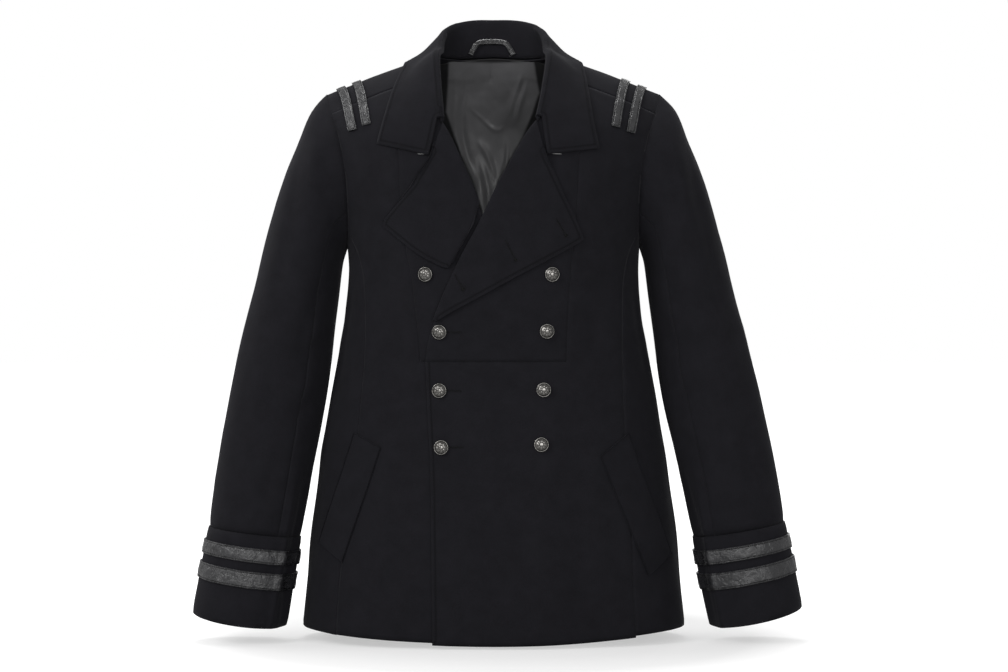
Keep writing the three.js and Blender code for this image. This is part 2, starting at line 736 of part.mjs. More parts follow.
function neckDrop(x) {
  const across = Math.min(Math.abs(x) / NECK_HALF, 1);
  const tau = NECK_TAU * Math.sqrt(1 - across * across);
  return roundDrop(x) * (1 - Math.cos(tau * RADIANS));
}

function buildBack() {
  const columns = 2 * (NECK_COLUMNS + BACK_COLUMNS);
  const frontRows = [];
  for (let step = SHOULDER_SEAM_STEP; step > 0; step -= 1) frontRows.push(armholeZ(step));
  const backRows = [...BACK_ARM_ROWS, ...LOWER_ROWS];
  const frontGrid = frontRows.map((rowZ, j) => times(columns + 1, (i) => {
    const x = backColumn(i, rowZ);
    const z = ridge(x) - (ridge(armholeX(rowZ)) - rowZ) + (j === 0 ? SEAM_GAP / 2 : 0);
    return onBody(x, z, -1);
  }));
  const backGrid = backRows.map((rowZ) => times(columns + 1, (i) => {
    const x = backColumn(i, rowZ);
    const z = rowHeight(rowZ, outerX(rowZ, backSideX), x, HEM_DIP_BACK);
    const start = armholeTop + ridge(x) - ridge(SHOULDER_WIDTH);
    const share = clamp((start - z) / (start - SIDE_START), 0, 1);
    return onBody(x, z - neckDrop(x) * (1 - share) ** 2, 1);
  }));
  const middle = NECK_COLUMNS + BACK_COLUMNS;
  const overNeck = (i) => i >= middle - NECK_COLUMNS && i < middle + NECK_COLUMNS;
  wall('back', WOOL, [...frontGrid, ...backGrid], CLOTH, {
    keep: (i, j) => j >= frontRows.length || !overNeck(i),
  });
}

function sideAngle(x, z, face) {
  return Math.atan2(x, -depthAt(x, z, face)) / RADIANS;
}

function buildSide(name) {
  const side = sideSign(name);
  const steps = RING - 2 * SIDE_SEAM_STEP;
  const rows = [SIDE_START, ...LOWER_ROWS];
  const span = SIDE_START - HEM_Z;
  const grid = rows.map((rowZ, j) => times(steps + 1, (i) => {
    const share = i / steps;
    const top = armholeZ(SIDE_SEAM_STEP + i);
    const low = HEM_Z - lerp(HEM_DIP_FRONT, HEM_DIP_BACK, share) * SIDE_DIP_SHARE * (2 * share - 1) ** 2;
    const down = (SIDE_START - rowZ) / span;
    const z = lerp(top, low, down) - (j === 0 ? SEAM_GAP : 0);
    const from = sideAngle(frontSideX[name](z) + SEAM_GAP / 2, z, -1);
    const to = sideAngle(backSideX(z) + SEAM_GAP, z, 1);
    if (j > 0) return onSide(side * lerp(from, to, share), z);
    const arm = armholePoint(1, SIDE_SEAM_STEP + i);
    return onSide(side * clamp(Math.atan2(arm.x, -arm.y) / RADIANS, from, to), z);
  }));
  wall(`side_${name}`, WOOL, grid, CLOTH);
}

// A ring of the sleeve or cuff at a step round it
const sleeveColumns = ['outX', 'outZ', 'inX', 'inZ', 'half', 'y'];
function ringReader(rings) {
  const rows = rings.map((ring, row) => ({ ...ring, row }));
  const readers = sleeveColumns.map((column) => reader(rows, 'row', column));
  return (row) => Object.fromEntries(sleeveColumns.map((column, k) => [column, readers[k](row)]));
}

function ringSpot(side, ring, step, out, tilt = 0) {
  const turn = (2 * Math.PI * step) / RING;
  const low = side > 0 ? ease(UNDERARM_Z, HEM_Z, ring.outZ) : 0;
  const outZ = ring.outZ + CUFF_RAISE_LEFT * low;
  const middle = vector((ring.outX + ring.inX) / 2 + CUFF_SPLAY_LEFT * low, ring.y, (outZ + ring.inZ) / 2);
  const arm = vector((ring.outX - ring.inX) / 2, 0, (outZ - ring.inZ) / 2);
  const depth = vector(0, -ring.half, -tilt);
  const spot = middle.clone().addScaledVector(arm, Math.cos(turn)).addScaledVector(depth, Math.sin(turn));
  const normal = arm.clone().normalize().multiplyScalar(Math.cos(turn) * ring.half)
    .add(depth.clone().normalize().multiplyScalar(Math.sin(turn) * arm.length()))
    .normalize();
  spot.addScaledVector(normal, out);
  const mirror = (v) => vector(side * v.x, v.y, v.z);
  return { point: mirror(spot), normal: mirror(normal) };
}

function sleeveFold(step, row) {
  let sum = 0;
  for (const fold of SLEEVE_FOLDS) {
    const turn = (((step * 360) / RING - fold.round + 540) % 360) - 180;
    sum += fold.depth * Math.exp(-((turn / fold.width) ** 2) - ((row - fold.along) / fold.length) ** 2);
  }
  return sum;
}

function sleeveGrid(side, steps) {
  const ringAt = ringReader(SLEEVE);
  const first = steps.map((step) => {
    const whole = Math.floor(((step % RING) + RING) % RING);
    const part = (((step % RING) + RING) % RING) - whole;
    const point = armholePoint(side, whole).lerp(armholePoint(side, (whole + 1) % RING), part);
    const turn = (2 * Math.PI * step) / RING;
    point.x += side * SEAM_GAP;
    return { point, normal: vector(0, -Math.sin(turn), Math.cos(turn)) };
  });
  const rest = SLEEVE.map((ring, row) => steps.map((step) => (
    ringSpot(side, ringAt(row), step, sleeveFold(step, row))
  )));
  return [first, ...rest];
}

function buildSleeve(name) {
  const side = sideSign(name);
  const half = SEAM_GAP / 2 / SLEEVE_STEP_LENGTH;
  const range = (from, to) => {
    const steps = [];
    for (let step = from; step <= to; step += 1) steps.push(step);
    steps[0] += half;
    steps[steps.length - 1] -= half;
    return steps;
  };
  wall(`sleeve_top_${name}`, WOOL, sleeveGrid(side, range(TOP_SLEEVE.from, TOP_SLEEVE.to)), CLOTH);
  wall(`sleeve_under_${name}`, WOOL, sleeveGrid(side, range(TOP_SLEEVE.to, RING + TOP_SLEEVE.from)), CLOTH);
}

function cuffRow(side, share, out) {
  const ringAt = ringReader(CUFF_RINGS);
  const ring = ringAt(share * (CUFF_RINGS.length - 1));
  return times(RING, (step) => ringSpot(side, ring, step, out, CUFF_TILT * share * share));
}

function buildCuff(name) {
  const side = sideSign(name);
  const grid = times(CUFF_ROW_COUNT, (j) => cuffRow(side, j / (CUFF_ROW_COUNT - 1), 0));
  grid[0].forEach((spot) => spot.point.setZ(spot.point.z - SEAM_GAP));
  wall(`cuff_${name}`, WOOL, grid, CUFF_CLOTH, { ring: true });
  for (const [level, stripe] of Object.entries(STRIPES)) {
    const rows = [stripe.from, stripe.to].map((share) => cuffRow(side, share, REST_GAP + LEATHER));
    wall(`cuff_stripe_${level}_${name}`, HIDE, rows, LEATHER, { ring: true });
  }
}

// Straps cross the ridge and follow the armhole down the front and a little way down the back
function buildStrap(name, level) {
  const side = sideSign(name);
  const strap = STRAPS[name][level];
  const reach = ridge(strap.endX) - strap.endZ;
  const tauFront = Math.acos(1 - reach / roundDrop(strap.endX)) / RADIANS;
  const grid = times(STRAP_ROWS + 1, (j) => {
    const share = lerp(-1, STRAP_BACK_SHARE, j / STRAP_ROWS);
    const x = lerp(strap.ridgeX, strap.endX, Math.abs(share) ** STRAP_BEND);
    return [-0.5, 0, 0.5].map((across) => {
      const spotX = x + across * STRAP_WIDTH;
      return overShoulder(side * spotX, share * tauFront, REST_GAP + LEATHER);
    });
  });
  wall(`shoulder_strap_${level}_${name}`, HIDE, grid, LEATHER);
}

function buildWelt(name) {
  const side = sideSign(name);
  const welt = WELTS[name];
  const grid = times(WELT_ROWS + 1, (j) => {
    const down = j / WELT_ROWS;
    return times(WELT_COLUMNS + 1, (i) => {
      const across = i / WELT_COLUMNS;
      const x = lerp(lerp(welt.topInX, welt.lowInX, down), lerp(welt.topOutX, welt.lowOutX, down), across);
      const z = lerp(lerp(welt.topInZ, welt.lowInZ, down), lerp(welt.topOutZ, welt.lowOutZ, down), across);
      return onSide(side * sideAngle(x, z, -1), z, REST_GAP + WELT_CLOTH);
    });
  });
  wall(`pocket_welt_${name}`, WOOL, grid, WELT_CLOTH);
}

function buildLapel(name) {
  const side = sideSign(name);
  const face = LAPEL_SEAT + FACED_CLOTH;
  const grid = LAPELS[name].map((row) => {
    const roll = new THREE.Vector2(row.rollX, row.rollZ);
    const edge = new THREE.Vector2(row.edgeX, row.edgeZ);
    const length = roll.distanceTo(edge);
    const section = LAPEL_ROLL.map(({ away, drop }) => ({
      share: Math.min(away / length, LAPEL_ROLL_SHARE),
      out: face - drop * row.wrap,
    }));
    const flat = LAPEL_SHARES.map((share) => ({ share, out: face }));
    return [...section, ...flat].map(({ share, out }) => {
      const spot = roll.clone().lerp(edge, share);
      const point = onBody(side * spot.x, spot.y, -1, out + lapLift(name, spot.x, spot.y)).point;
      return { point };
    });
  });
  wall(`lapel_${name}`, WOOL, grid, FACED_CLOTH, { turned: name === 'left' });
}

// Collar sections: seam, stand, roll and fall
function collarSection(side, row) {
  const mirror = (v) => vector(side * v.x, v.y, v.z);
  const seam = overShoulder(row.seamX, row.seamTau, COLLAR_SEAM_RISE).point;
  const free = row.rollY !== undefined;
  const roll = free ? vector(row.rollX, row.rollY, row.rollZ)
    : onBody(row.rollX, row.rollZ, -1, row.lift).point;
  const edge = free ? overShoulder(row.edgeX, row.edgeTau, COLLAR_SEAT).point
    : onBody(row.edgeX, row.edgeZ, -1, COLLAR_SEAT).point;
  const middle = free ? vector(row.midX, row.midY, row.midZ)
    : onBody(row.midX, row.midZ, -1, Math.max(COLLAR_SEAT, row.lift * COLLAR_LEAF_LIFT)).point;
  const leaf = free ? middle.clone().lerp(edge, 0.5)
    : onBody(lerp(row.midX, row.edgeX, 0.5), lerp(row.midZ, row.edgeZ, 0.5), -1, COLLAR_SEAT).point;
  return { points: [seam, roll, middle, leaf, edge].map(mirror) };
}

function collarProfile(section, normalAlong) {
  const [seam, roll, middle, leaf, edge] = section.points;
  const out = edge.clone().sub(seam);
  out.addScaledVector(normalAlong, -out.dot(normalAlong)).normalize();
  const rise = roll.clone().sub(seam).lerp(roll.clone().sub(middle), 0.5);
  rise.addScaledVector(normalAlong, -rise.dot(normalAlong));
  rise.addScaledVector(out, -rise.dot(out)).normalize();
  const crest = COLLAR_CREST.map((spot) => roll.clone()
    .addScaledVector(out, spot.out * COLLAR_ROLL_RADIUS)
    .addScaledVector(rise, spot.up * COLLAR_ROLL_RADIUS));
  const fall = crest[crest.length - 1].clone().lerp(middle, 0.5);
  return [seam, ...crest, fall, middle, leaf, edge].map((point) => ({ point }));
}

function buildCollar() {
  const half = (name) => [...COLLAR_BACK, ...COLLAR_FRONT[name]];
  const rightRows = half('right').map((row) => collarSection(-1, row));
  const leftRows = half('left').map((row) => collarSection(1, row));
  const sections = [...rightRows.reverse(), ...leftRows.slice(1)];
  const lines = times(sections[0].points.length, (k) => sections.map((row) => row.points[k]));
  const curves = lines.map((line) => new THREE.CatmullRomCurve3(line));
  const count = (sections.length - 1) * COLLAR_SPLITS;
  const grid = times(count + 1, (j) => {
    const share = j / count;
    const along = curves[1].getTangent(share);
    return collarProfile({ points: curves.map((curve) => curve.getPoint(share)) }, along);
  });
  wall('collar', WOOL, grid, FACED_CLOTH);
}

function buildLining() {
  const grid = times(LINING_ROWS + 1, (j) => {
    const down = (j / LINING_ROWS) ** LINING_ROW_POWER;
    return times(LINING_COLUMNS + 1, (i) => {
      const x = LINING_HALF * (2 * i / LINING_COLUMNS - 1);
      const top = ridge(x) - Math.max(neckDrop(x), roundDrop(x) * LINING_SHOULDER_SHARE) - LINING_TOP_DROP;
      const inset = lerp(LINING_INSET_TOP, LINING_INSET_LOW, down ** LINING_SHARE);
      return onBody(x, lerp(top, LINING_LOW_Z, down), 1, -CLOTH - inset);
    });
  });
  wall('lining_back', LINING, grid, SATIN);
}

function buildLoop() {
  const path = new THREE.CatmullRomCurve3(LOOP_PATH.map((spot) => vector(spot.x, spot.y, spot.z)));
  const section = new THREE.Shape([
    new THREE.Vector2(-LOOP_THICKNESS / 2, -LOOP_WIDTH / 2),
    new THREE.Vector2(LOOP_THICKNESS / 2, -LOOP_WIDTH / 2),
    new THREE.Vector2(LOOP_THICKNESS / 2, LOOP_WIDTH / 2),
    new THREE.Vector2(-LOOP_THICKNESS / 2, LOOP_WIDTH / 2),
  ]);
  const geometry = new THREE.ExtrudeGeometry(section, { steps: LOOP_STEPS, extrudePath: path });
  const mesh = new THREE.Mesh(geometry, HIDE);
  mesh.name = 'hanger_loop';
  coat.add(mesh);
}

function buildButtons() {
  const profile = BUTTON_SECTION.map((spot) => new THREE.Vector2(spot.radius * BUTTON_RADIUS, spot.height));
  for (const button of BUTTONS) {
    const lift = lapLift(button.front, button.x, button.z);
    const { point, normal } = onBody(button.x, button.z, -1, lift + BUTTON_SEAT);
    const mesh = new THREE.Mesh(new THREE.LatheGeometry(profile, BUTTON_SIDES), METAL);
    mesh.name = button.name;
    mesh.position.copy(point);
    mesh.quaternion.setFromUnitVectors(vector(0, 1, 0), normal);
    coat.add(mesh);
  }
}

buildBack();
buildCollar();
buildLining();
buildLoop();
for (const name of ['left', 'right']) {
  buildSide(name);
  buildFront(name);
  buildLapel(name);
  buildSleeve(name);
  buildCuff(name);
  buildWelt(name);
  for (const level of Object.keys(STRAPS[name])) buildStrap(name, level);
}
buildButtons();

export default coat;
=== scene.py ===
"""A men's double-breasted pea coat, dressed over its solids: wool, satin lining, leather strips,
stitching and silver buttons. Shapes are worked out in millimetres and put in place in metres."""

import math

import bmesh
import bpy
import numpy as np
from bpy.props import FloatProperty, FloatVectorProperty, IntProperty, PointerProperty
from bpy.types import Operator, Panel, PropertyGroup
from mathutils import Matrix, Vector
from mathutils.bvhtree import BVHTree
from mathutils.kdtree import KDTree


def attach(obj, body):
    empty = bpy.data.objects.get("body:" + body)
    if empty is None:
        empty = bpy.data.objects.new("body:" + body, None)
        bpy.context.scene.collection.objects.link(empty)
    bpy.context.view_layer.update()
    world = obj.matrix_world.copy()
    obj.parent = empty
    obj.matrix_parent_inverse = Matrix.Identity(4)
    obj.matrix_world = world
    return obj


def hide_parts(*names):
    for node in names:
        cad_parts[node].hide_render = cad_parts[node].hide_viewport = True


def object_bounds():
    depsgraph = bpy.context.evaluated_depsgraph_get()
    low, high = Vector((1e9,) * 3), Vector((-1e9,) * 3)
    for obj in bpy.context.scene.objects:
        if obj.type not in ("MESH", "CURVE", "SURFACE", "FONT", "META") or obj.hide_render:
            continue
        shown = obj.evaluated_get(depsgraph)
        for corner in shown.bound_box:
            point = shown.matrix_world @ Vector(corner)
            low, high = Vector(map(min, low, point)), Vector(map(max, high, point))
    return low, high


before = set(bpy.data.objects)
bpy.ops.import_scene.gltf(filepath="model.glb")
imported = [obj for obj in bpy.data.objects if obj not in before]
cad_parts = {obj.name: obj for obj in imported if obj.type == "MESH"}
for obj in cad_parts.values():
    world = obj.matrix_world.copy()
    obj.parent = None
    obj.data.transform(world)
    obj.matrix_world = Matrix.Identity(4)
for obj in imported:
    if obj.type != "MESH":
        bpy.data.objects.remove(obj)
CAD_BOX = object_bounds()

bl_info = {
    "name": "Pea Coat",
    "version": (1, 0, 0),
    "blender": (4, 5, 0),
    "location": "3D View > Sidebar > Pea Coat",
    "description": "Dresses the solids of a pea coat in wool, satin, leather and metal",
    "category": "Object",
}

SIDES = ("left", "right")
MM = 0.001
IN_FRONT = -0.5
MERGE = 0.00001
RIM_ANGLE = math.radians(55.0)
JOIN_FACE = math.radians(50.0)
JOIN_SHAPE = math.radians(89.0)
SMOOTH_ANGLE = math.radians(48.0)
RIM_SAMPLES = 4

# Seams, edges and strips, in millimetres
SEAM_CLOSE = 0.4
SEAM_DIP_WIDTH = 3.4
PUCKER_SIZE = 9.0
PUCKER_REACH = 10.0
NO_SEAM = 99.0
TOP_INSET = 4.5
STRIP_INSET = 1.7
STRIP_STITCH = {"inset": STRIP_INSET, "pitch": 2.6, "length": 2.0, "width": 0.6}
LOOP_EDGE = 0.8
LOOP_PLAIN = 9.0

# Middle of the wearer's right sleeve at each height, in millimetres
SLEEVE_AXIS = (
    {"z": -60, "x": 206, "y": 1},
    {"z": -126, "x": 218, "y": 0},
    {"z": -221, "x": 234, "y": -4},
    {"z": -300, "x": 249, "y": -8},
    {"z": -400, "x": 265, "y": -16},
    {"z": -475, "x": 279, "y": -23},
    {"z": -573, "x": 294, "y": -31},
    {"z": -690, "x": 313, "y": -40},
)
SPLAY_LEFT = 10.0

# Creases of each side of the body, in millimetres. A path runs across and up; depth is out of the cloth
BODY_CREASES = {
    "front": (
        {"path": ((-152, -238), (-128, -290), (-118, -350), (-121, -420)), "width": 15, "depth": -2.4},
        {"path": ((150, -236), (128, -285), (117, -350), (119, -410)), "width": 15, "depth": -2.2},
        {"path": ((-136, -395), (-128, -470), (-133, -560), (-140, -690)), "width": 13, "depth": 2.2},
        {"path": ((128, -400), (122, -500), (130, -600), (134, -690)), "width": 14, "depth": 2.0},
        {"path": ((-92, -430), (-96, -520), (-104, -640)), "width": 12, "depth": -1.6},
        {"path": ((22, -420), (30, -520), (36, -640)), "width": 22, "depth": -1.4},
        {"path": ((96, -470), (100, -560), (104, -680)), "width": 14, "depth": -1.8},
        {"path": ((-150, -90), (-138, -130), (-134, -190)), "width": 12, "depth": -1.8},
        {"path": ((160, -100), (150, -140), (146, -200)), "width": 12, "depth": -1.8},
        {"path": ((-60, -338), (-20, -345), (30, -340), (60, -336)), "width": 9, "depth": -0.8},
        {"path": ((-60, -408), (-10, -413), (55, -407)), "width": 9, "depth": -0.8},
    ),
    "back": (
        {"path": ((-150, -150), (-110, -230), (-84, -320), (-78, -400)), "width": 16, "depth": -3.6},
        {"path": ((150, -140), (118, -220), (90, -310), (70, -390)), "width": 17, "depth": -3.4},
        {"path": ((-12, -60), (4, -150), (-6, -260), (3, -360)), "width": 14, "depth": -2.2},
        {"path": ((-60, -372), (-10, -384), (52, -370)), "width": 12, "depth": -3.0},
        {"path": ((-92, -330), (-52, -350), (-10, -343)), "width": 8, "depth": -1.8},
        {"path": ((20, -352), (58, -341), (96, -322)), "width": 8, "depth": -1.8},
        {"path": ((-46, -410), (-58, -520), (-66, -690)), "width": 20, "depth": 3.6},
        {"path": ((52, -415), (66, -540), (78, -690)), "width": 20, "depth": 3.4},
        {"path": ((4, -400), (2, -520), (-4, -690)), "width": 17, "depth": -2.6},
    ),
    "left": (
        {"path": ((-52, -250), (-42, -340), (-46, -430)), "width": 13, "depth": -2.4},
        {"path": ((38, -250), (30, -350), (44, -470), (48, -640)), "width": 15, "depth": -2.8},
        {"path": ((-6, -440), (-4, -560), (2, -690)), "width": 16, "depth": 2.8},
    ),
    "right": (
        {"path": ((-50, -255), (-38, -350), (-48, -440)), "width": 13, "depth": -2.4},
        {"path": ((34, -260), (26, -360), (40, -470), (52, -650)), "width": 15, "depth": -2.8},
        {"path": ((0, -430), (-8, -560), (-4, -690)), "width": 16, "depth": 2.8},
    ),
}

# Creases of the sleeves. A path runs round the sleeve in degrees (0 outside, 90 front, 180 inside) and up
SLEEVE_CREASES = {
    "left": (
        {"path": ((76, -92), (82, -150), (80, -215)), "width": 7, "depth": 2.2},
        {"path": ((60, -100), (66, -160), (64, -250), (58, -330)), "width": 10, "depth": -2.6},
        {"path": ((128, -250), (112, -300), (104, -360)), "width": 11, "depth": -2.4},
        {"path": ((158, -318), (122, -352), (92, -372)), "width": 9, "depth": -2.6},
        {"path": ((150, -372), (118, -395), (84, -402)), "width": 9, "depth": 2.0},
        {"path": ((142, -412), (108, -432), (74, -440)), "width": 9, "depth": -2.2},
        {"path": ((52, -400), (60, -470), (64, -550)), "width": 13, "depth": -1.8},
        {"path": ((104, -470), (96, -520), (98, -566)), "width": 11, "depth": -1.8},
        {"path": ((20, -300), (28, -360), (22, -430)), "width": 14, "depth": 1.8},
        {"path": ((232, -250), (250, -330), (240, -420)), "width": 15, "depth": -2.8},
        {"path": ((212, -350), (250, -382), (292, -388)), "width": 10, "depth": -2.8},
        {"path": ((206, -402), (246, -424), (286, -420)), "width": 9, "depth": 2.2},
        {"path": ((280, -130), (286, -220), (278, -310)), "width": 13, "depth": -2.6},
        {"path": ((312, -420), (304, -500), (310, -566)), "width": 13, "depth": -2.0},
        {"path": ((190, -470), (222, -510), (228, -566)), "width": 12, "depth": 1.8},
        {"path": ((140, -470), (141, -570), (141, -640), (142, -760)), "width": 6, "depth": 3.0},
        {"path": ((165, -470), (165, -570), (164, -640), (165, -760)), "width": 13, "depth": -5.8},
    ),
    "right": (
        {"path": ((84, -92), (92, -140), (94, -200)), "width": 7, "depth": 2.2},
        {"path": ((66, -100), (74, -160), (76, -240), (70, -320)), "width": 10, "depth": -2.4},
        {"path": ((132, -255), (116, -310), (108, -370)), "width": 11, "depth": -2.2},
        {"path": ((160, -330), (126, -360), (96, -384)), "width": 9, "depth": -2.6},
        {"path": ((152, -384), (120, -404), (88, -414)), "width": 9, "depth": 1.8},
        {"path": ((146, -424), (112, -446), (80, -450)), "width": 9, "depth": -2.0},
        {"path": ((48, -390), (58, -460), (56, -556)), "width": 13, "depth": -1.6},
        {"path": ((110, -480), (100, -530), (104, -566)), "width": 11, "depth": -1.8},
        {"path": ((16, -260), (24, -340), (18, -420)), "width": 14, "depth": 1.8},
        {"path": ((236, -240), (246, -320), (236, -410)), "width": 15, "depth": -2.6},
        {"path": ((214, -340), (252, -372), (290, -380)), "width": 10, "depth": -2.8},
        {"path": ((208, -394), (248, -414), (284, -412)), "width": 9, "depth": 2.0},
        {"path": ((284, -130), (280, -220), (286, -300)), "width": 13, "depth": -2.4},
        {"path": ((308, -430), (314, -500), (306, -566)), "width": 13, "depth": -1.8},
        {"path": ((138, -470), (139, -570), (139, -640), (140, -760)), "width": 6, "depth": 3.0},
        {"path": ((163, -470), (163, -570), (162, -640), (163, -760)), "width": 13, "depth": -5.8},
    ),
}

# Soft unevenness of the cloth, in millimetres
BODY_WAVES = ({"height": 0.9, "size": 62.0, "seed": 3}, {"height": 0.35, "size": 23.0, "seed": 4})
SLEEVE_WAVES = ({"height": 0.8, "size": 48.0, "seed": 7}, {"height": 0.3, "size": 19.0, "seed": 8})

# Wrinkles of the satin, across and up; depth is towards the neck
LINING_CREASES = (
    {
        "path": ((-50, 6), (-46, -24), (-52, -58), (-46, -92), (-30, -136), (-12, -176)),
        "width": 5, "depth": 3.4,
    },
    {"path": ((-36, 4), (-38, -30), (-42, -62), (-36, -104), (-20, -150)), "width": 4, "depth": -2.4},
    {"path": ((-34, -44), (-16, -58), (-2, -72), (8, -74), (16, -62)), "width": 2.6, "depth": 1.7},
    {"path": ((14, -66), (22, -44), (30, -22), (40, 4)), "width": 4, "depth": 2.8},
    {"path": ((26, -70), (33, -40), (45, -10)), "width": 3.4, "depth": 2.4},
    {"path": ((16, -76), (18, -110), (8, -150), (0, -184)), "width": 4, "depth": 2.6},
    {"path": ((-4, 8), (-3, -4), (-4, -18)), "width": 2.2, "depth": -1.6},
    {"path": ((-20, -100), (-12, -130), (-6, -160), (-8, -200)), "width": 4.5, "depth": 2.2},
    {"path": ((34, -86), (24, -118), (10, -160)), "width": 3.6, "depth": 2.4},
    {"path": ((-24, -80), (-8, -104), (4, -140)), "width": 3.4, "depth": 1.5},
    {"path": ((-70, -6), (-74, -90), (-66, -200), (-76, -290)), "width": 9, "depth": 3.4},
    {"path": ((60, 0), (70, -80), (66, -180), (72, -290)), "width": 9, "depth": 3.2},
    {"path": ((104, -10), (96, -110), (104, -280)), "width": 10, "depth": 3.0},
    {"path": ((-108, -14), (-98, -120), (-110, -280)), "width": 10, "depth": 3.0},
    {"path": ((20, -150), (24, -220), (18, -290)), "width": 8, "depth": 2.8},
    {"path": ((-26, -160), (-22, -220), (-30, -290)), "width": 8, "depth": 2.8},
)

LINING_WAVES = (
    {"height": 1.3, "size": 15.0, "stretch": 0.4, "seed": 21},
    {"height": 0.6, "size": 7.0, "stretch": 0.5, "seed": 22},
)
LINING_LIFT = 3.0
LINING_HALF_WIDTH = 140.0
LINING_RAISED = 5.5
LINING_FORWARD = 4.0

# Cloth pieces: node, levels of subdivision, flat width and length in metres of the cut that shows, how
# the cloth is held, depth of the dip along its rims, and how much thinner than its solid it lies. A hung
# piece is sewn to its neighbours all round, so its rims are closed up to theirs
PIECES = (
    {"node": "back", "levels": 2, "flat": (0.470, 0.775), "held": "hung", "dip": 0.7},
    {"node": "side", "levels": 3, "flat": (0.205, 0.500), "held": "hung", "dip": 0.7},
    {"node": "front", "levels": 3, "flat": (0.290, 0.720), "held": "hung", "dip": 0.7},
    {"node": "chest", "levels": 3, "flat": (0.190, 0.370), "held": "hung", "dip": 0.7},
    {"node": "lapel", "levels": 3, "flat": (0.145, 0.240), "held": "folded", "dip": 0.2, "thin": 0.5},
    {"node": "collar", "levels": 3, "flat": (0.590, 0.150), "held": "folded", "dip": 0.2},
    {"node": "pocket_welt", "levels": 3, "flat": (0.048, 0.180), "held": "laid", "dip": 0.25, "thin": 1.5},
    {"node": "sleeve_top", "levels": 2, "flat": (0.285, 0.560), "held": "hung", "dip": 0.7},
    {"node": "sleeve_under", "levels": 2, "flat": (0.165, 0.420), "held": "hung", "dip": 0.7},
    {"node": "cuff", "levels": 3, "flat": (0.375, 0.106), "held": "hung", "dip": 0.6},
)
LEATHER_PIECES = (
    {"node": "cuff_stripe_upper", "levels": 3, "flat": (0.370, 0.020), "held": "stretched"},
    {"node": "cuff_stripe_lower", "levels": 3, "flat": (0.365, 0.021), "held": "stretched"},
    {"node": "shoulder_strap_inner", "levels": 3, "flat": (0.0118, 0.190), "held": "stretched"},
    {"node": "shoulder_strap_outer", "levels": 3, "flat": (0.0118, 0.178), "held": "stretched"},
)
PAIRED = {
    "side", "front", "chest", "lapel", "pocket_welt", "sleeve_top", "sleeve_under", "cuff",
    "cuff_stripe_upper", "cuff_stripe_lower", "shoulder_strap_inner", "shoulder_strap_outer",
}

# Roll line of each lapel: depth below the origin and distance from the middle, in millimetres
ROLL_LINES = {
    "left": {"down": (78, 108, 143, 180, 232, 289, 319), "across": (52, 32, 12, -6, -33, -60, -72)},
    "right": {"down": (81, 108, 135, 178, 205, 250), "across": (60, 46, 34, 16, 22, 48)},
}
ROLL_CLEARANCE = 9.0
LAPEL_TOP = -118.0

# Where the collar's seam at the neck ends and its free edge begins, and the left front's sewn edge
NECK_MIDDLE = 5.0
NECK_DEPTH = 60.0
NECK_SEAM_REACH = 66.0
COLLAR_POINTS = -60.0
COLLAR_BACK = 78.0
FRONT_EDGE = -70.0
WAIST_SEAM = -372.0
HEM = -706.0

# Buttonholes on the wearer's left lapel and front, from the eye to the other end, in millimetres
KEYHOLES = (
    {"eye": (87.2, -218.4), "end": (75.5, -198.5)},
    {"eye": (26.9, -248.3), "end": (14.8, -224.8)},
    {"eye": (-35.8, -283.0), "end": (-45.8, -265.2)},
)
PLAIN_HOLES = (
    {"eye": (-62.0, -334.2), "end": (-38.5, -334.6)},
    {"eye": (-62.0, -404.6), "end": (-38.0, -405.0)},
    {"eye": (-60.5, -473.0), "end": (-35.5, -472.6)},
)
EYELET_RADIUS = 2.2
PLAIN_RADIUS = 0.7
HOLE_PITCH = 0.75

# Light thread bars just under the collar's corners, across and up at both ends, in millimetres
COLLAR_BARS = (
    {"side": "left", "ends": ((69.5, -121.0), (83.0, -120.8))},
    {"side": "right", "ends": ((-91.5, -120.6), (-80.5, -121.2))},
)

# Section of a button: share of its radius, and of its height
BUTTON_SECTION = (
    (0.0, 0.0), (0.36, 0.0), (0.36, 0.22), (0.55, 0.27), (0.90, 0.30), (0.97, 0.34), (1.0, 0.42),
    (0.985, 0.50), (0.945, 0.56), (0.90, 0.57), (0.865, 0.53), (0.845, 0.51), (0.82, 0.54), (0.76, 0.64),
    (0.66, 0.76), (0.54, 0.86), (0.42, 0.92), (0.36, 0.935), (0.33, 0.915), (0.30, 0.945), (0.2, 0.985),
    (0.1, 1.0), (0.0, 1.0),
)
BUTTON_STEPS = 56
BUTTON_PETALS = 8
BUTTON_CORDS = 40
PETAL_PLACE = 0.57
CORD_PLACE = 0.95

# Camera, lamps and floor: places and sizes in metres, lens and sensor in millimetres
CAMERA_PLACE = (0.0131, -3.0, -0.339)
CAMERA_LENS = 85.7
SENSOR_WIDTH = 36.0
LAMP_AIM = (0.0, 0.0, -0.32)
LAMPS = (
    {"name": "key", "place": (-2.3, -2.3, 1.4), "size": 1.5},
    {"name": "fill", "place": (0.5, -3.4, 0.1), "size": 2.4},
    {"name": "rim", "place": (-2.0, 0.8, 0.6), "size": 1.2},
    {"name": "top", "place": (-0.2, 0.6, 2.6), "size": 1.0},
    {"name": "rear", "place": (1.2, 3.6, 0.6), "size": 1.6},
)
FLOOR_SIZE = 30.0
FLOOR_TONE = 0.55
FLOOR_DROP = 0.004
SHADOW_REACH = 0.12
SHADOW_FADE = 2.5

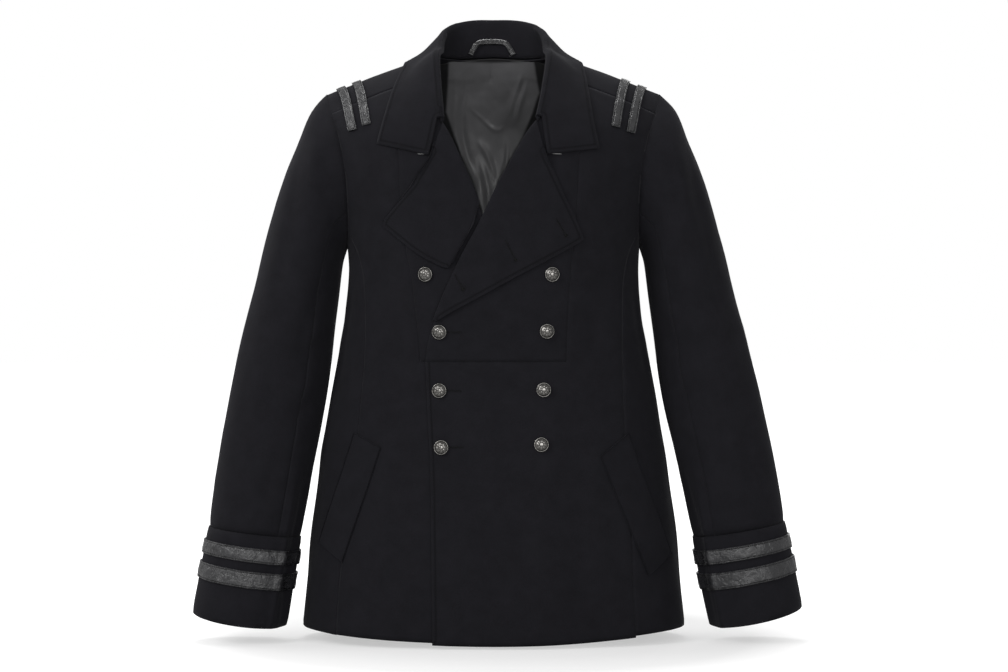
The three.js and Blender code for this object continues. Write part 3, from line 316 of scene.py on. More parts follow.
# Edge of the dark facing and the painted shade inside the neck: middle of the lining to each side of it, at
# each height. Past it the satin is darkened, partly as the wool facing and partly as painted shade in the
# neck's inner corners
FACING_AND_SHADE_EDGE = (
    {"z": -185, "low": -11, "high": -11},
    {"z": -174, "low": -13, "high": -8},
    {"z": -143, "low": -23, "high": 1},
    {"z": -132, "low": -27, "high": 7},
    {"z": -112, "low": -36, "high": 17},
    {"z": -81, "low": -49, "high": 35},
    {"z": -65, "low": -54, "high": 42},
    {"z": -51, "low": -59, "high": 48},
    {"z": -38, "low": -58, "high": 52},
    {"z": -28, "low": -57, "high": 56},
    {"z": 0, "low": -55, "high": 50},
    {"z": 21, "low": -53, "high": 43},
)

made = {}


def ease(low, high, value):
    """A smooth step from 0 at low to 1 at high."""
    share = np.clip((value - low) / (high - low), 0.0, 1.0)
    return share * share * (3.0 - 2.0 * share)


def unit(rows):
    return rows / np.maximum(np.linalg.norm(rows, axis=1, keepdims=True), 1e-12)


def soft_noise(points, size, seed):
    """Smooth random heights from -1 to 1 on a lattice of the given size, the same on every run."""
    lattice = np.random.default_rng(seed).uniform(-1.0, 1.0, (16, 16, 16))
    cell = np.floor(points / size)
    part = points / size - cell
    part = part * part * (3.0 - 2.0 * part)
    low = cell.astype(int) % 16
    high = (low + 1) % 16
    total = np.zeros(len(points))
    for corner in range(8):
        picks = [(corner >> axis) & 1 for axis in range(3)]
        index = [np.where(pick, high[:, axis], low[:, axis]) for axis, pick in enumerate(picks)]
        weights = [part[:, axis] if pick else 1.0 - part[:, axis] for axis, pick in enumerate(picks)]
        total += lattice[index[0], index[1], index[2]] * weights[0] * weights[1] * weights[2]
    return total


def waves(points, rows):
    """Sum of soft noises; a row gives their height, their size and their seed."""
    return sum(row["height"] * soft_noise(points, row["size"], row["seed"]) for row in rows)


def bell(distance, width):
    """1 at no distance, falling smoothly to 0 past the width."""
    return np.exp(-((distance / width) ** 2))


def rounded(path, passes=2):
    """The path with its corners cut, its ends kept."""
    points = np.array(path, float)
    for _ in range(passes):
        first = points[:-1] * 0.75 + points[1:] * 0.25
        second = points[:-1] * 0.25 + points[1:] * 0.75
        between = np.stack([first, second], 1).reshape(-1, 2)
        points = np.vstack([points[:1], between, points[-1:]])
    return points


def crease_height(across, up, crease):
    """Height of one crease over the cloth, fading at both ends."""
    path = rounded(crease["path"])
    lengths = np.linalg.norm(np.diff(path, axis=0), axis=1)
    starts = np.concatenate([[0.0], np.cumsum(lengths)])
    near = np.full(len(across), 1e9)
    along = np.zeros(len(across))
    for start, end, length, walked in zip(path[:-1], path[1:], lengths, starts[:-1]):
        step = (end - start) / max(length, 1e-9)
        part = np.clip((across - start[0]) * step[0] + (up - start[1]) * step[1], 0.0, length)
        gap = np.hypot(across - start[0] - part * step[0], up - start[1] - part * step[1])
        closer = gap < near
        near = np.where(closer, gap, near)
        along = np.where(closer, walked + part, along)
    share = along / starts[-1]
    fade = ease(0.0, 0.3, share) * ease(0.0, 0.35, 1.0 - share)
    sway = 1.0 + 0.22 * np.sin(along / 19.0 + crease["path"][0][0])
    return crease["depth"] * fade * sway * bell(near, crease["width"] * sway)


def body_chart(points, side):
    """Places on one side of the body, across and up, and how much of that side each point is."""
    x, y, z = points.T
    if side == "front":
        return x, z, ease(2.0, 45.0, -y)
    if side == "back":
        return x, z, ease(2.0, 45.0, y)
    sign = 1.0 if side == "left" else -1.0
    return y, z, ease(105.0, 150.0, sign * x)


def body_height(points):
    """How far the body's cloth stands off its solid, in millimetres."""
    x, _, z = points.T
    total = np.zeros(len(points))
    for side, creases in BODY_CREASES.items():
        across, up, share = body_chart(points, side)
        for crease in creases:
            total += share * crease_height(across, up, crease)
    total += waves(points, BODY_WAVES)
    at_arm = ease(150.0, 178.0, np.abs(x)) * ease(-262.0, -224.0, z)
    under_collar = ease(-150.0, -90.0, z) * (1.0 - ease(110.0, 150.0, np.abs(x)))
    return total * (1.0 - at_arm) * (1.0 - 0.7 * under_collar)


def off_armhole(points):
    """0 at the armhole, where sleeve and body meet at a steep angle, and 1 away from it."""
    x, _, z = points.T
    return 1.0 - ease(160.0, 176.0, np.abs(x)) * ease(-262.0, -235.0, z)


def body_outward(points):
    """Directions out of the body: level round the trunk, and turning upwards over the shoulders."""
    x, y, z = points.T
    round_body = unit(np.stack([x / 200.0**2, y / 118.0**2, np.zeros(len(x))], 1))
    over_shoulder = unit(np.stack([0.33 * np.sign(x), y / 110.0, np.ones(len(x))], 1))
    share = ease(-120.0, 15.0, z)[:, None]
    return unit(round_body * (1.0 - share) + over_shoulder * share)


def sleeve_middle(points, side):
    """The middle of the sleeve at each point's height."""
    down = -points[:, 2]
    heights = [-row["z"] for row in SLEEVE_AXIS]
    x = np.interp(down, heights, [row["x"] for row in SLEEVE_AXIS])
    y = np.interp(down, heights, [row["y"] for row in SLEEVE_AXIS])
    sign = 1.0 if side == "left" else -1.0
    splay = SPLAY_LEFT * ease(228.0, 697.0, down) if side == "left" else 0.0
    return np.stack([sign * (x + splay), y], 1)


def sleeve_outward(points, side):
    """Directions away from the sleeve's middle, turning upwards at its head."""
    middle = sleeve_middle(points, side)
    away = np.stack([points[:, 0] - middle[:, 0], points[:, 1] - middle[:, 1], np.zeros(len(points))], 1)
    away = unit(away)
    away[:, 2] = 0.7 * ease(-130.0, -55.0, points[:, 2])
    return unit(away)


def sleeve_height(points, side):
    """How far the sleeve's cloth stands off its solid, in millimetres."""
    middle = sleeve_middle(points, side)
    sign = 1.0 if side == "left" else -1.0
    across = sign * (points[:, 0] - middle[:, 0])
    turn = np.degrees(np.arctan2(middle[:, 1] - points[:, 1], across)) % 360.0
    total = np.zeros(len(points))
    for crease in SLEEVE_CREASES[side]:
        total += crease_height(turn, points[:, 2], crease)
    total += waves(points, SLEEVE_WAVES)
    off_arm = ease(186.0, 212.0, np.abs(points[:, 0]))
    return total * off_arm


def mesh_points(mesh):
    points = np.empty(len(mesh.vertices) * 3)
    mesh.vertices.foreach_get("co", points)
    return points.reshape(-1, 3) / MM


def put_points(mesh, points):
    mesh.vertices.foreach_set("co", (points * MM).ravel())
    mesh.update()


def dense_copy(node, levels):
    """A copy of a node, merged, joined to quads, creased along its rims and subdivided."""
    form = bmesh.new()
    form.from_mesh(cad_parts[node].data)
    bmesh.ops.remove_doubles(form, verts=form.verts[:], dist=MERGE)
    bmesh.ops.join_triangles(
        form, faces=form.faces[:], angle_face_threshold=JOIN_FACE, angle_shape_threshold=JOIN_SHAPE
    )
    crease = form.edges.layers.float.new("crease_edge")
    for edge in form.edges:
        if len(edge.link_faces) == 2 and edge.calc_face_angle() > RIM_ANGLE:
            edge[crease] = 1.0
    mesh = bpy.data.meshes.new("coarse_" + node)
    form.to_mesh(mesh)
    form.free()
    piece = bpy.data.objects.new("cloth_" + node, mesh)
    bpy.context.scene.collection.objects.link(piece)
    smooth = piece.modifiers.new("smooth", "SUBSURF")
    smooth.levels = levels
    smooth.render_levels = levels
    bpy.context.view_layer.update()
    fine = bpy.data.meshes.new_from_object(piece.evaluated_get(bpy.context.evaluated_depsgraph_get()))
    piece.modifiers.clear()
    piece.data = fine
    fine.name = piece.name
    bpy.data.meshes.remove(mesh)
    return piece


def rim_edges(mesh, outward):
    """Ends of the edges along the cloth's rims, and whether each is on the outer face."""
    loops = np.empty(len(mesh.loops), int)
    mesh.loops.foreach_get("edge_index", loops)
    totals = np.empty(len(mesh.polygons), int)
    mesh.polygons.foreach_get("loop_total", totals)
    owner = np.repeat(np.arange(len(mesh.polygons)), totals)
    normals = np.empty(len(mesh.polygons) * 3)
    mesh.polygons.foreach_get("normal", normals)
    normals = normals.reshape(-1, 3)
    centres = np.empty(len(mesh.polygons) * 3)
    mesh.polygons.foreach_get("center", centres)
    centres = centres.reshape(-1, 3) / MM
    order = np.argsort(loops, kind="stable")
    first, second = owner[order[0::2]], owner[order[1::2]]
    edges = loops[order[0::2]]
    sharp = (normals[first] * normals[second]).sum(1) < math.cos(RIM_ANGLE)
    first, second, edges = first[sharp], second[sharp], edges[sharp]
    ends = np.empty(len(mesh.edges) * 2, int)
    mesh.edges.foreach_get("vertices", ends)
    ends = ends.reshape(-1, 2)[edges]
    facing_first = (normals[first] * outward(centres[first])).sum(1)
    facing_second = (normals[second] * outward(centres[second])).sum(1)
    outer = np.maximum(facing_first, facing_second) > 0.5
    face = np.where(facing_first > facing_second, first, second)
    return ends, outer, centres[face]


def gap_to(points, rim_points):
    """Distance in millimetres from each point to the nearest rim point."""
    tree = KDTree(len(rim_points))
    for index, point in enumerate(rim_points):
        tree.insert(point, index)
    tree.balance()
    return np.array([tree.find(point)[2] for point in points])


def rim_samples(points, ends):
    """Points spread evenly along the rim edges."""
    shares = np.arange(RIM_SAMPLES) / RIM_SAMPLES
    start, end = points[ends[:, 0]], points[ends[:, 1]]
    return (start[:, None] + (end - start)[:, None] * shares[None, :, None]).reshape(-1, 3)


def add_value(mesh, name, values):
    layer = mesh.attributes.new(name, "FLOAT", "POINT")
    layer.data.foreach_set("value", np.asarray(values, np.float32))


def smooth_faces(mesh):
    mesh.polygons.foreach_set("use_smooth", np.ones(len(mesh.polygons), bool))
    mesh.set_sharp_from_angle(angle=SMOOTH_ANGLE)
    mesh.update()


def fields(node):
    """Outward direction and height for the part of the coat that a node belongs to."""
    side = "left" if node.endswith("left") else "right"
    if node.startswith(("sleeve", "cuff")):
        return (lambda points: sleeve_outward(points, side)), (lambda points: sleeve_height(points, side))
    return body_outward, body_height


def dress(node, levels, dip, pucker, sewn=None, roughen=None, thin=0.0, close=0.0):
    """Makes a cloth piece from its node, with its folds and seams and its distances to rims and stitches."""
    outward, height = fields(node)
    piece = dense_copy(node, levels)
    mesh = piece.data
    points = mesh_points(mesh)
    ends, outer, face = rim_edges(mesh, outward)
    gap = gap_to(points, rim_samples(points, ends))
    add_value(mesh, "seam_gap", gap)
    sewn_gap = np.full(len(points), NO_SEAM)
    chosen = outer.copy()
    if sewn is not None:
        middle = points[ends].mean(1)
        chosen &= sewn(middle)
        if chosen.any():
            sewn_gap = gap_to(points, rim_samples(points, ends[chosen]))
    add_value(mesh, "sewn_gap", sewn_gap)
    move = height(points)
    move -= dip * off_armhole(points) * bell(gap, SEAM_DIP_WIDTH)
    move += pucker * soft_noise(points, PUCKER_SIZE, 11) * bell(gap, PUCKER_REACH)
    if roughen is not None:
        move += roughen(points, gap)
    normals = np.empty(len(points) * 3)
    mesh.vertex_normals.foreach_get("vector", normals)
    normals = normals.reshape(-1, 3)
    away = outward(points)
    facing = (normals * away).sum(1)
    move -= thin * ease(-0.2, 0.6, facing)
    aside = normals - away * facing[:, None]
    at_rim = ease(0.3, 0.55, np.linalg.norm(aside, axis=1)) * ease(-1.3, -1.0, -gap)
    put_points(mesh, points + away * move[:, None] + unit(aside) * (close * at_rim)[:, None])
    smooth_faces(mesh)
    made[node] = {"piece": piece, "ends": ends, "chosen": chosen, "face": face, "outward": outward}
    return piece


def finish_piece(piece, node, finish):
    """Gives a piece its finish, hides the solid of the node it stands for and hangs it on the root."""
    piece.data.materials.clear()
    piece.data.materials.append(finish)
    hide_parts(node)
    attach(piece, "root")


def chains(ends):
    """Runs of joined rim edges, each as a list of vertex numbers in order."""
    links = {}
    for start, end in ends.tolist():
        links.setdefault(start, []).append(end)
        links.setdefault(end, []).append(start)
    runs = []
    left = set(links)
    for start in sorted(links, key=lambda vertex: (len(links[vertex]), vertex)):
        if start not in left:
            continue
        run = [start]
        left.discard(start)
        while True:
            onward = [vertex for vertex in links[run[-1]] if vertex in left]
            if not onward:
                break
            run.append(onward[0])
            left.discard(onward[0])
        if run[0] in links[run[-1]] and len(run) > 2:
            run.append(run[0])
        if len(run) > 3:
            runs.append(run)
    return runs


def surface_of(piece):
    mesh = piece.data
    points = [vertex.co.copy() for vertex in mesh.vertices]
    return BVHTree.FromPolygons(points, [tuple(face.vertices) for face in mesh.polygons])


def thread_matrix(spot, run, normal, length, width, lift):
    """Puts a stitch of unit size on the cloth, along its run."""
    up = normal.normalized()
    ahead = (run - up * run.dot(up)).normalized()
    aside = up.cross(ahead)
    turn = Matrix((ahead, aside, up)).transposed().to_4x4()
    size = Matrix.Diagonal((length / 2, width / 2, width / 2.4, 1.0))
    return Matrix.Translation(spot + up * lift) @ turn @ size


def stitch_places(node, inset, pitch):
    """Places of the stitches that run inside a piece's sewn rim."""
    info = made[node]
    piece, outward = info["piece"], info["outward"]
    points = mesh_points(piece.data)
    ends = info["ends"][info["chosen"]]
    if not len(ends):
        return []
    surface = surface_of(piece)
    rim = KDTree(len(ends) * RIM_SAMPLES)
    for index, point in enumerate(rim_samples(points, ends)):
        rim.insert(point, index)
    rim.balance()
    inward_of = {}
    for (start, end), face in zip(ends.tolist(), info["face"][info["chosen"]]):
        for vertex in (start, end):
            inward_of.setdefault(vertex, []).append(face - (points[start] + points[end]) / 2)
    places = []
    for run in chains(ends):
        line = points[run]
        ahead = unit(np.gradient(line, axis=0))
        inward = np.array([np.mean(inward_of[vertex], axis=0) for vertex in run])
        inward = unit(inward - ahead * (inward * ahead).sum(1, keepdims=True))
        line = line + inward * inset
        steps = np.linalg.norm(np.diff(line, axis=0), axis=1)
        walked = np.concatenate([[0.0], np.cumsum(steps)])
        stops = np.arange(pitch * 0.5, walked[-1], pitch)
        spots = np.stack([np.interp(stops, walked, line[:, axis]) for axis in range(3)], 1)
        for spot, nearby in zip(spots, np.roll(spots, -1, axis=0)):
            if rim.find(spot)[2] < inset * 0.86:
                continue
            place, normal, _, _ = surface.find_nearest(Vector(spot * MM))
            if normal.dot(Vector(outward(spot[None])[0])) < 0:
                continue
            run_way = Vector((nearby - spot) * MM)
            if run_way.length > pitch * 2 * MM or run_way.length == 0:
                continue
            places.append((place, run_way, normal))
    return places


def thread_template():
    """One stitch of unit size, as points and faces."""
    form = bmesh.new()
    bmesh.ops.create_uvsphere(form, u_segments=5, v_segments=3, radius=1.0)
    bmesh.ops.rotate(form, verts=form.verts[:], cent=(0, 0, 0), matrix=Matrix.Rotation(math.pi / 2, 3, "Y"))
    form.verts.index_update()
    points = np.array([vertex.co[:] for vertex in form.verts])
    faces = [[vertex.index for vertex in face.verts] for face in form.faces]
    form.free()
    return points, faces


def repeat_thread(name, matrices, finish):
    """One piece that holds a stitch at each of the given places."""
    shape, faces = thread_template()
    points = []
    all_faces = []
    for count, matrix in enumerate(matrices):
        turn = np.array(matrix.to_3x3())
        points.append(shape @ turn.T + np.array(matrix.translation))
        all_faces.extend([[vertex + count * len(shape) for vertex in face] for face in faces])
    mesh = bpy.data.meshes.new(name)
    mesh.from_pydata(np.vstack(points).tolist(), [], all_faces)
    mesh.polygons.foreach_set("use_smooth", np.ones(len(mesh.polygons), bool))
    mesh.materials.append(finish)
    piece = bpy.data.objects.new(name, mesh)
    bpy.context.scene.collection.objects.link(piece)
    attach(piece, "root")
    return piece


def sew(name, rows, finish):
    """Stitches along the sewn rims of several pieces; a row gives node, inset, pitch, length and width."""
    matrices = []
    for row in rows:
        for spot, run, normal in stitch_places(row["node"], row["inset"], row["pitch"]):
            matrices.append(thread_matrix(
                spot, run, normal, row["length"] * MM, row["width"] * MM, row["width"] * 0.12 * MM
            ))
    if not matrices:
        raise RuntimeError(f"{name}: no stitch found a place")
    return repeat_thread(name, matrices, finish)


def named_nodes(rows):
    """Each row with the names of its nodes, left and right where it is a pair."""
    for row in rows:
        if row["node"] in PAIRED:
            for side in SIDES:
                yield row, f"{row['node']}_{side}"
        else:
            yield row, row["node"]


def value_group(name, inputs, outputs):
    group = bpy.data.node_groups.new(name, "ShaderNodeTree")
    for label, kind, default in inputs:
        socket = group.interface.new_socket(label, in_out="INPUT", socket_type=kind)
        if default is not None:
            socket.default_value = default
    for label, kind in outputs:
        group.interface.new_socket(label, in_out="OUTPUT", socket_type=kind)
    return group, group.nodes.new("NodeGroupInput"), group.nodes.new("NodeGroupOutput")


def math_node(tree, operation, first, second=None, third=None):
    node = tree.nodes.new("ShaderNodeMath")
    node.operation = operation
    for socket, value in zip(node.inputs, (first, second, third)):
        if value is None:
            continue
        if isinstance(value, (int, float)):
            socket.default_value = value
        else:
            tree.links.new(value, socket)
    return node.outputs[0]


def bell_node(tree, distance, width):
    """1 at no distance, falling smoothly to 0 past the width."""
    share = math_node(tree, "DIVIDE", distance, width)
    squared = math_node(tree, "MULTIPLY", share, share)
    return math_node(tree, "EXPONENT", math_node(tree, "MULTIPLY", squared, -1.0))


def noise_node(tree, vector, scale, detail, roughness=0.55, distortion=0.0):
    node = tree.nodes.new("ShaderNodeTexNoise")
    node.inputs["Detail"].default_value = detail
    node.inputs["Roughness"].default_value = roughness
    node.inputs["Distortion"].default_value = distortion
    if isinstance(scale, (int, float)):
        node.inputs["Scale"].default_value = scale
    else:
        tree.links.new(scale, node.inputs["Scale"])
    tree.links.new(vector, node.inputs["Vector"])
    return node.outputs["Fac"]


def nap_group():
    """Fibres and soft mottling of a cloth: a tone from 0 to 1 and a height."""
    group, into, out = value_group(
        "Cloth nap",
        (("Vector", "NodeSocketVector", None), ("Fibre Scale", "NodeSocketFloat", 900.0),
         ("Mottle Scale", "NodeSocketFloat", 40.0)),
        (("Tone", "NodeSocketFloat"), ("Height", "NodeSocketFloat")),
    )
    fibres = noise_node(group, into.outputs["Vector"], into.outputs["Fibre Scale"], 3.0, 0.7)
    mottle = noise_node(group, into.outputs["Vector"], into.outputs["Mottle Scale"], 5.0, 0.65)
    tone = math_node(group, "MULTIPLY", math_node(group, "ADD", fibres, mottle), 0.5)
    group.links.new(tone, out.inputs["Tone"])
    group.links.new(fibres, out.inputs["Height"])
    return group


def sewn_group():
    """Groove of a top-stitch line and the roll of a seam, from the distances kept on the cloth, with the
    groove's share for painted shade and the rim's share for a paler tone.
    """
    group, into, out = value_group(
        "Sewn lines",
        (("Inset", "NodeSocketFloat", TOP_INSET), ("Groove Width", "NodeSocketFloat", 1.2),
         ("Seam Width", "NodeSocketFloat", 1.6)),
        (("Height", "NodeSocketFloat"), ("Worn", "NodeSocketFloat"), ("Shade", "NodeSocketFloat")),
    )
    sewn = group.nodes.new("ShaderNodeAttribute")
    sewn.attribute_name = "sewn_gap"
    seam = group.nodes.new("ShaderNodeAttribute")
    seam.attribute_name = "seam_gap"
    away = math_node(group, "SUBTRACT", sewn.outputs["Fac"], into.outputs["Inset"])
    groove = bell_node(group, away, into.outputs["Groove Width"])
    roll = bell_node(group, seam.outputs["Fac"], into.outputs["Seam Width"])
    height = math_node(group, "MULTIPLY", math_node(group, "ADD", groove, roll), -1.0)
    group.links.new(height, out.inputs["Height"])
    group.links.new(roll, out.inputs["Worn"])
    group.links.new(groove, out.inputs["Shade"])
    return group


def new_material(name):
    material = bpy.data.materials.new(name)
    material.use_nodes = True
    tree = material.node_tree
    tree.nodes.clear()
    shader = tree.nodes.new("ShaderNodeBsdfPrincipled")
    out = tree.nodes.new("ShaderNodeOutputMaterial")
    tree.links.new(shader.outputs[0], out.inputs["Surface"])
    place = tree.nodes.new("ShaderNodeTexCoord").outputs["Object"]
    return material, tree, shader, place


def use_group(tree, group, place=None, **values):
    node = tree.nodes.new("ShaderNodeGroup")
    node.node_tree = group
    if place is not None:
        tree.links.new(place, node.inputs["Vector"])
    for label, value in values.items():
        node.inputs[label.replace("_", " ")].default_value = value
    return node


def mix_colours(tree, share, low, high):
    node = tree.nodes.new("ShaderNodeMix")
    node.data_type = "RGBA"
    colours = [socket for socket in node.inputs if socket.type == "RGBA"]
    tree.links.new(share, node.inputs[0])
    for socket, colour in zip(colours, (low, high)):
        if hasattr(colour, "is_output"):
            tree.links.new(colour, socket)
        else:
            socket.default_value = (*colour, 1.0)
    return [socket for socket in node.outputs if socket.type == "RGBA"][0]


def bump(tree, shader, height, strength, distance, before=None):
    node = tree.nodes.new("ShaderNodeBump")
    node.inputs["Strength"].default_value = strength
    node.inputs["Distance"].default_value = distance
    tree.links.new(height, node.inputs["Height"])
    if before is not None:
        tree.links.new(before, node.inputs["Normal"])
    tree.links.new(node.outputs[0], shader.inputs["Normal"])
    return node.outputs[0]


def scaled(colour, factor):
    return tuple(channel * factor for channel in colour)


def wool_material(name, colour, groups):
    material, tree, shader, place = new_material(name)
    nap = use_group(tree, groups["nap"], place, Fibre_Scale=900.0, Mottle_Scale=46.0)
    sewn = use_group(tree, groups["sewn"], Inset=TOP_INSET, Groove_Width=1.3, Seam_Width=1.8)
    cloth = mix_colours(tree, nap.outputs["Tone"], scaled(colour, 0.3), scaled(colour, 1.75))
    shaded = mix_colours(tree, sewn.outputs["Shade"], cloth, scaled(colour, 0.6))
    tree.links.new(shaded, shader.inputs["Base Color"])
    shader.inputs["Roughness"].default_value = 0.92
    shader.inputs["Specular IOR Level"].default_value = 0.12
    shader.inputs["Sheen Weight"].default_value = 0.05
    shader.inputs["Sheen Roughness"].default_value = 0.45
    shader.inputs["Sheen Tint"].default_value = (0.62, 0.62, 0.68, 1.0)
    fibre_normal = bump(tree, shader, nap.outputs["Height"], 0.5, 0.0005)
    bump(tree, shader, sewn.outputs["Height"], 0.35, 0.0008, fibre_normal)
    return material


def satin_material(name, colour, groups):
    material, tree, shader, place = new_material(name)
    nap = use_group(tree, groups["nap"], place, Fibre_Scale=2200.0, Mottle_Scale=22.0)
    cloth = mix_colours(tree, nap.outputs["Tone"], scaled(colour, 0.7), scaled(colour, 1.2))
    # The facing attribute darkens the satin and dulls its shine: partly the dark wool facing, partly painted
    # shade in the neck's inner corners and along the lining's top rim
    facing = tree.nodes.new("ShaderNodeAttribute")
    facing.attribute_name = "facing"
    facing_and_shade_mixed = mix_colours(tree, facing.outputs["Fac"], cloth, scaled(colour, 0.12))
    tree.links.new(facing_and_shade_mixed, shader.inputs["Base Color"])
    shader.inputs["Roughness"].default_value = 0.43
    shine = math_node(tree, "SUBTRACT", 0.6, math_node(tree, "MULTIPLY", facing.outputs["Fac"], 0.5))
    tree.links.new(shine, shader.inputs["Specular IOR Level"])
    shader.inputs["Sheen Weight"].default_value = 0.1
    shader.inputs["Sheen Roughness"].default_value = 0.35
    bump(tree, shader, nap.outputs["Height"], 0.15, 0.0003)
    return material


def leather_material(name, colour, groups):
    material, tree, shader, place = new_material(name)
    creases = tree.nodes.new("ShaderNodeTexVoronoi")
    creases.feature = "DISTANCE_TO_EDGE"
    creases.inputs["Scale"].default_value = 260.0
    tree.links.new(place, creases.inputs["Vector"])
    lines = math_node(tree, "MINIMUM", creases.outputs["Distance"], 0.16)
    grain = noise_node(tree, place, 85.0, 5.0, 0.55, 1.2)
    sewn = use_group(tree, groups["sewn"], Inset=STRIP_INSET, Groove_Width=0.6, Seam_Width=0.8)
    leather = mix_colours(tree, grain, scaled(colour, 0.5), scaled(colour, 1.6))
    # Paler towards each rim, and darker in the stitch groove as painted shade
    paler_rim = mix_colours(tree, sewn.outputs["Worn"], leather, scaled(colour, 1.5))
    shaded = mix_colours(tree, sewn.outputs["Shade"], paler_rim, scaled(colour, 0.5))
    tree.links.new(shaded, shader.inputs["Base Color"])
    rough = math_node(tree, "ADD", math_node(tree, "MULTIPLY", grain, 0.3), 0.14)
    tree.links.new(rough, shader.inputs["Roughness"])
    shader.inputs["Specular IOR Level"].default_value = 0.72
    wrinkles = math_node(tree, "MULTIPLY", grain, 2.6)
    height = math_node(tree, "ADD", math_node(tree, "MULTIPLY", lines, 0.9), wrinkles)
    grain_normal = bump(tree, shader, height, 0.8, 0.0011)
    bump(tree, shader, sewn.outputs["Height"], 0.8, 0.0008, grain_normal)
    return material


def silver_material(name, colour, tarnish):
    material, tree, shader, place = new_material(name)
    # This attribute darkens the metal: real tarnish in the hollows, painted shade on the rim and underside
    hollow = tree.nodes.new("ShaderNodeAttribute")
    hollow.attribute_name = "hollow"
    stain = noise_node(tree, place, 420.0, 5.0, 0.65)
    share = math_node(tree, "ADD", hollow.outputs["Fac"], math_node(tree, "MULTIPLY", stain, 0.16))
    shade = math_node(tree, "MINIMUM", share, 1.0)
    tree.links.new(mix_colours(tree, shade, colour, tarnish), shader.inputs["Base Color"])
    shader.inputs["Metallic"].default_value = 1.0
    rough = math_node(tree, "ADD", math_node(tree, "MULTIPLY", share, 0.3), 0.13)
    tree.links.new(rough, shader.inputs["Roughness"])
    bump(tree, shader, noise_node(tree, place, 500.0, 3.0), 0.08, 0.0002)
    return material


def thread_material(name, colour):
    material, tree, shader, place = new_material(name)
    wave = noise_node(tree, place, 2600.0, 2.0)
    ply = mix_colours(tree, wave, scaled(colour, 0.6), scaled(colour, 1.4))
    tree.links.new(ply, shader.inputs["Base Color"])
    shader.inputs["Roughness"].default_value = 0.75
    shader.inputs["Specular IOR Level"].default_value = 0.2
    bump(tree, shader, wave, 0.3, 0.0002)
    return material


def materials():
    """The coat's finishes, made once."""
    if "finishes" not in made:
        cloth = bpy.context.scene.coat_cloth
        trim = bpy.context.scene.coat_trim
        groups = {"nap": nap_group(), "sewn": sewn_group()}
        made["finishes"] = {
            "wool": wool_material("wool melton", cloth.wool_colour, groups),
            "lining": satin_material("lining satin", cloth.lining_colour, groups),
            "leather": leather_material("leather strip", trim.leather_colour, groups),
            "silver": silver_material("antique silver", trim.silver_colour, trim.tarnish_colour),
            "wool_thread": thread_material("wool thread", scaled(cloth.wool_colour, 0.85)),
            "leather_thread": thread_material("leather thread", scaled(trim.leather_colour, 1.1)),
            # The near-black finish is painted shade inside the buttonholes
            "slit": thread_material("slit", (0.003, 0.003, 0.003)),
            "bar": thread_material("light thread", (0.30, 0.30, 0.30)),
        }
    return made["finishes"]


class ClothSettings(PropertyGroup):
    wool_colour: FloatVectorProperty(
        name="Wool colour", description="Colour of the wool", subtype="COLOR",
        default=(0.0098, 0.0095, 0.0120), min=0.0, max=1.0,
    )
    lining_colour: FloatVectorProperty(
        name="Lining colour", description="Colour of the satin", subtype="COLOR",
        default=(0.168, 0.168, 0.174), min=0.0, max=1.0,
    )
    stitch_inset: FloatProperty(
        name="Stitch inset", description="Distance of the top stitching from an edge, in mm",
        default=TOP_INSET, min=1.0, max=10.0,
    )
    stitch_pitch: FloatProperty(
        name="Stitch pitch", description="Distance between two stitches, in mm",
        default=3.4, min=1.0, max=10.0,
    )
    pucker: FloatProperty(
        name="Pucker", description="Height of the small puckers along seams, in mm",
        default=0.35, min=0.0, max=2.0,
    )


class TrimSettings(PropertyGroup):
    leather_colour: FloatVectorProperty(
        name="Leather colour", description="Colour of the leather strips", subtype="COLOR",
        default=(0.021, 0.021, 0.023), min=0.0, max=1.0,
    )
    silver_colour: FloatVectorProperty(
        name="Silver colour", description="Colour of the buttons' bright metal", subtype="COLOR",
        default=(0.27, 0.262, 0.248), min=0.0, max=1.0,
    )
    # The tarnish colour is also painted on the buttons' rims and undersides as shade
    tarnish_colour: FloatVectorProperty(
        name="Tarnish colour", description="Colour in the buttons' hollows", subtype="COLOR",
        default=(0.012, 0.011, 0.010), min=0.0, max=1.0,
    )
    button_steps: IntProperty(
        name="Button steps", description="Faces round a button", default=BUTTON_STEPS, min=16, max=96
    )


class StageSettings(PropertyGroup):
    key_power: FloatProperty(
        name="Key light", description="Power of the key light", default=42.0, min=0.0, unit="POWER"
    )
    fill_power: FloatProperty(
        name="Fill light", description="Power of the frontal fill light", default=46.0, min=0.0, unit="POWER"
    )
    rim_power: FloatProperty(
        name="Rim light", description="Power of the rim light", default=10.0, min=0.0, unit="POWER"
    )
    top_power: FloatProperty(
        name="Top light", description="Power of the top light", default=30.0, min=0.0, unit="POWER"
    )
    rear_power: FloatProperty(
        name="Rear light", description="Power of the rear light", default=15.0, min=0.0, unit="POWER"
    )
    white: FloatProperty(
        name="White", description="Brightness of the floor as the camera sees it", default=0.5, min=0.0
    )
    surround: FloatProperty(
        name="Surround", description="Light that the white surroundings give", default=0.42, min=0.0
    )


def sewn_lapel(side):
    """The free edge of a lapel: everything but its roll line."""
    sign = 1.0 if side == "left" else -1.0
    line = ROLL_LINES[side]

    def test(middle):
        roll = np.interp(-middle[:, 2], line["down"], line["across"])
        return (sign * middle[:, 0] > roll + ROLL_CLEARANCE) & (middle[:, 2] < LAPEL_TOP)

    return test


def sewn_collar(middle):
    """The outer edge of the fall, away from the seam at the neck."""
    x, y, z = middle.T
    from_neck = np.hypot(x, np.minimum(np.abs(y - NECK_MIDDLE), NECK_DEPTH))
    return (from_neck > NECK_SEAM_REACH) | (z < COLLAR_POINTS) | (y > COLLAR_BACK)


def sewn_front(middle):
    """The edge of the left front, from the waist seam down to the hem."""
    x, _, z = middle.T
    return (x < FRONT_EDGE) & (z < WAIST_SEAM) & (z > HEM)


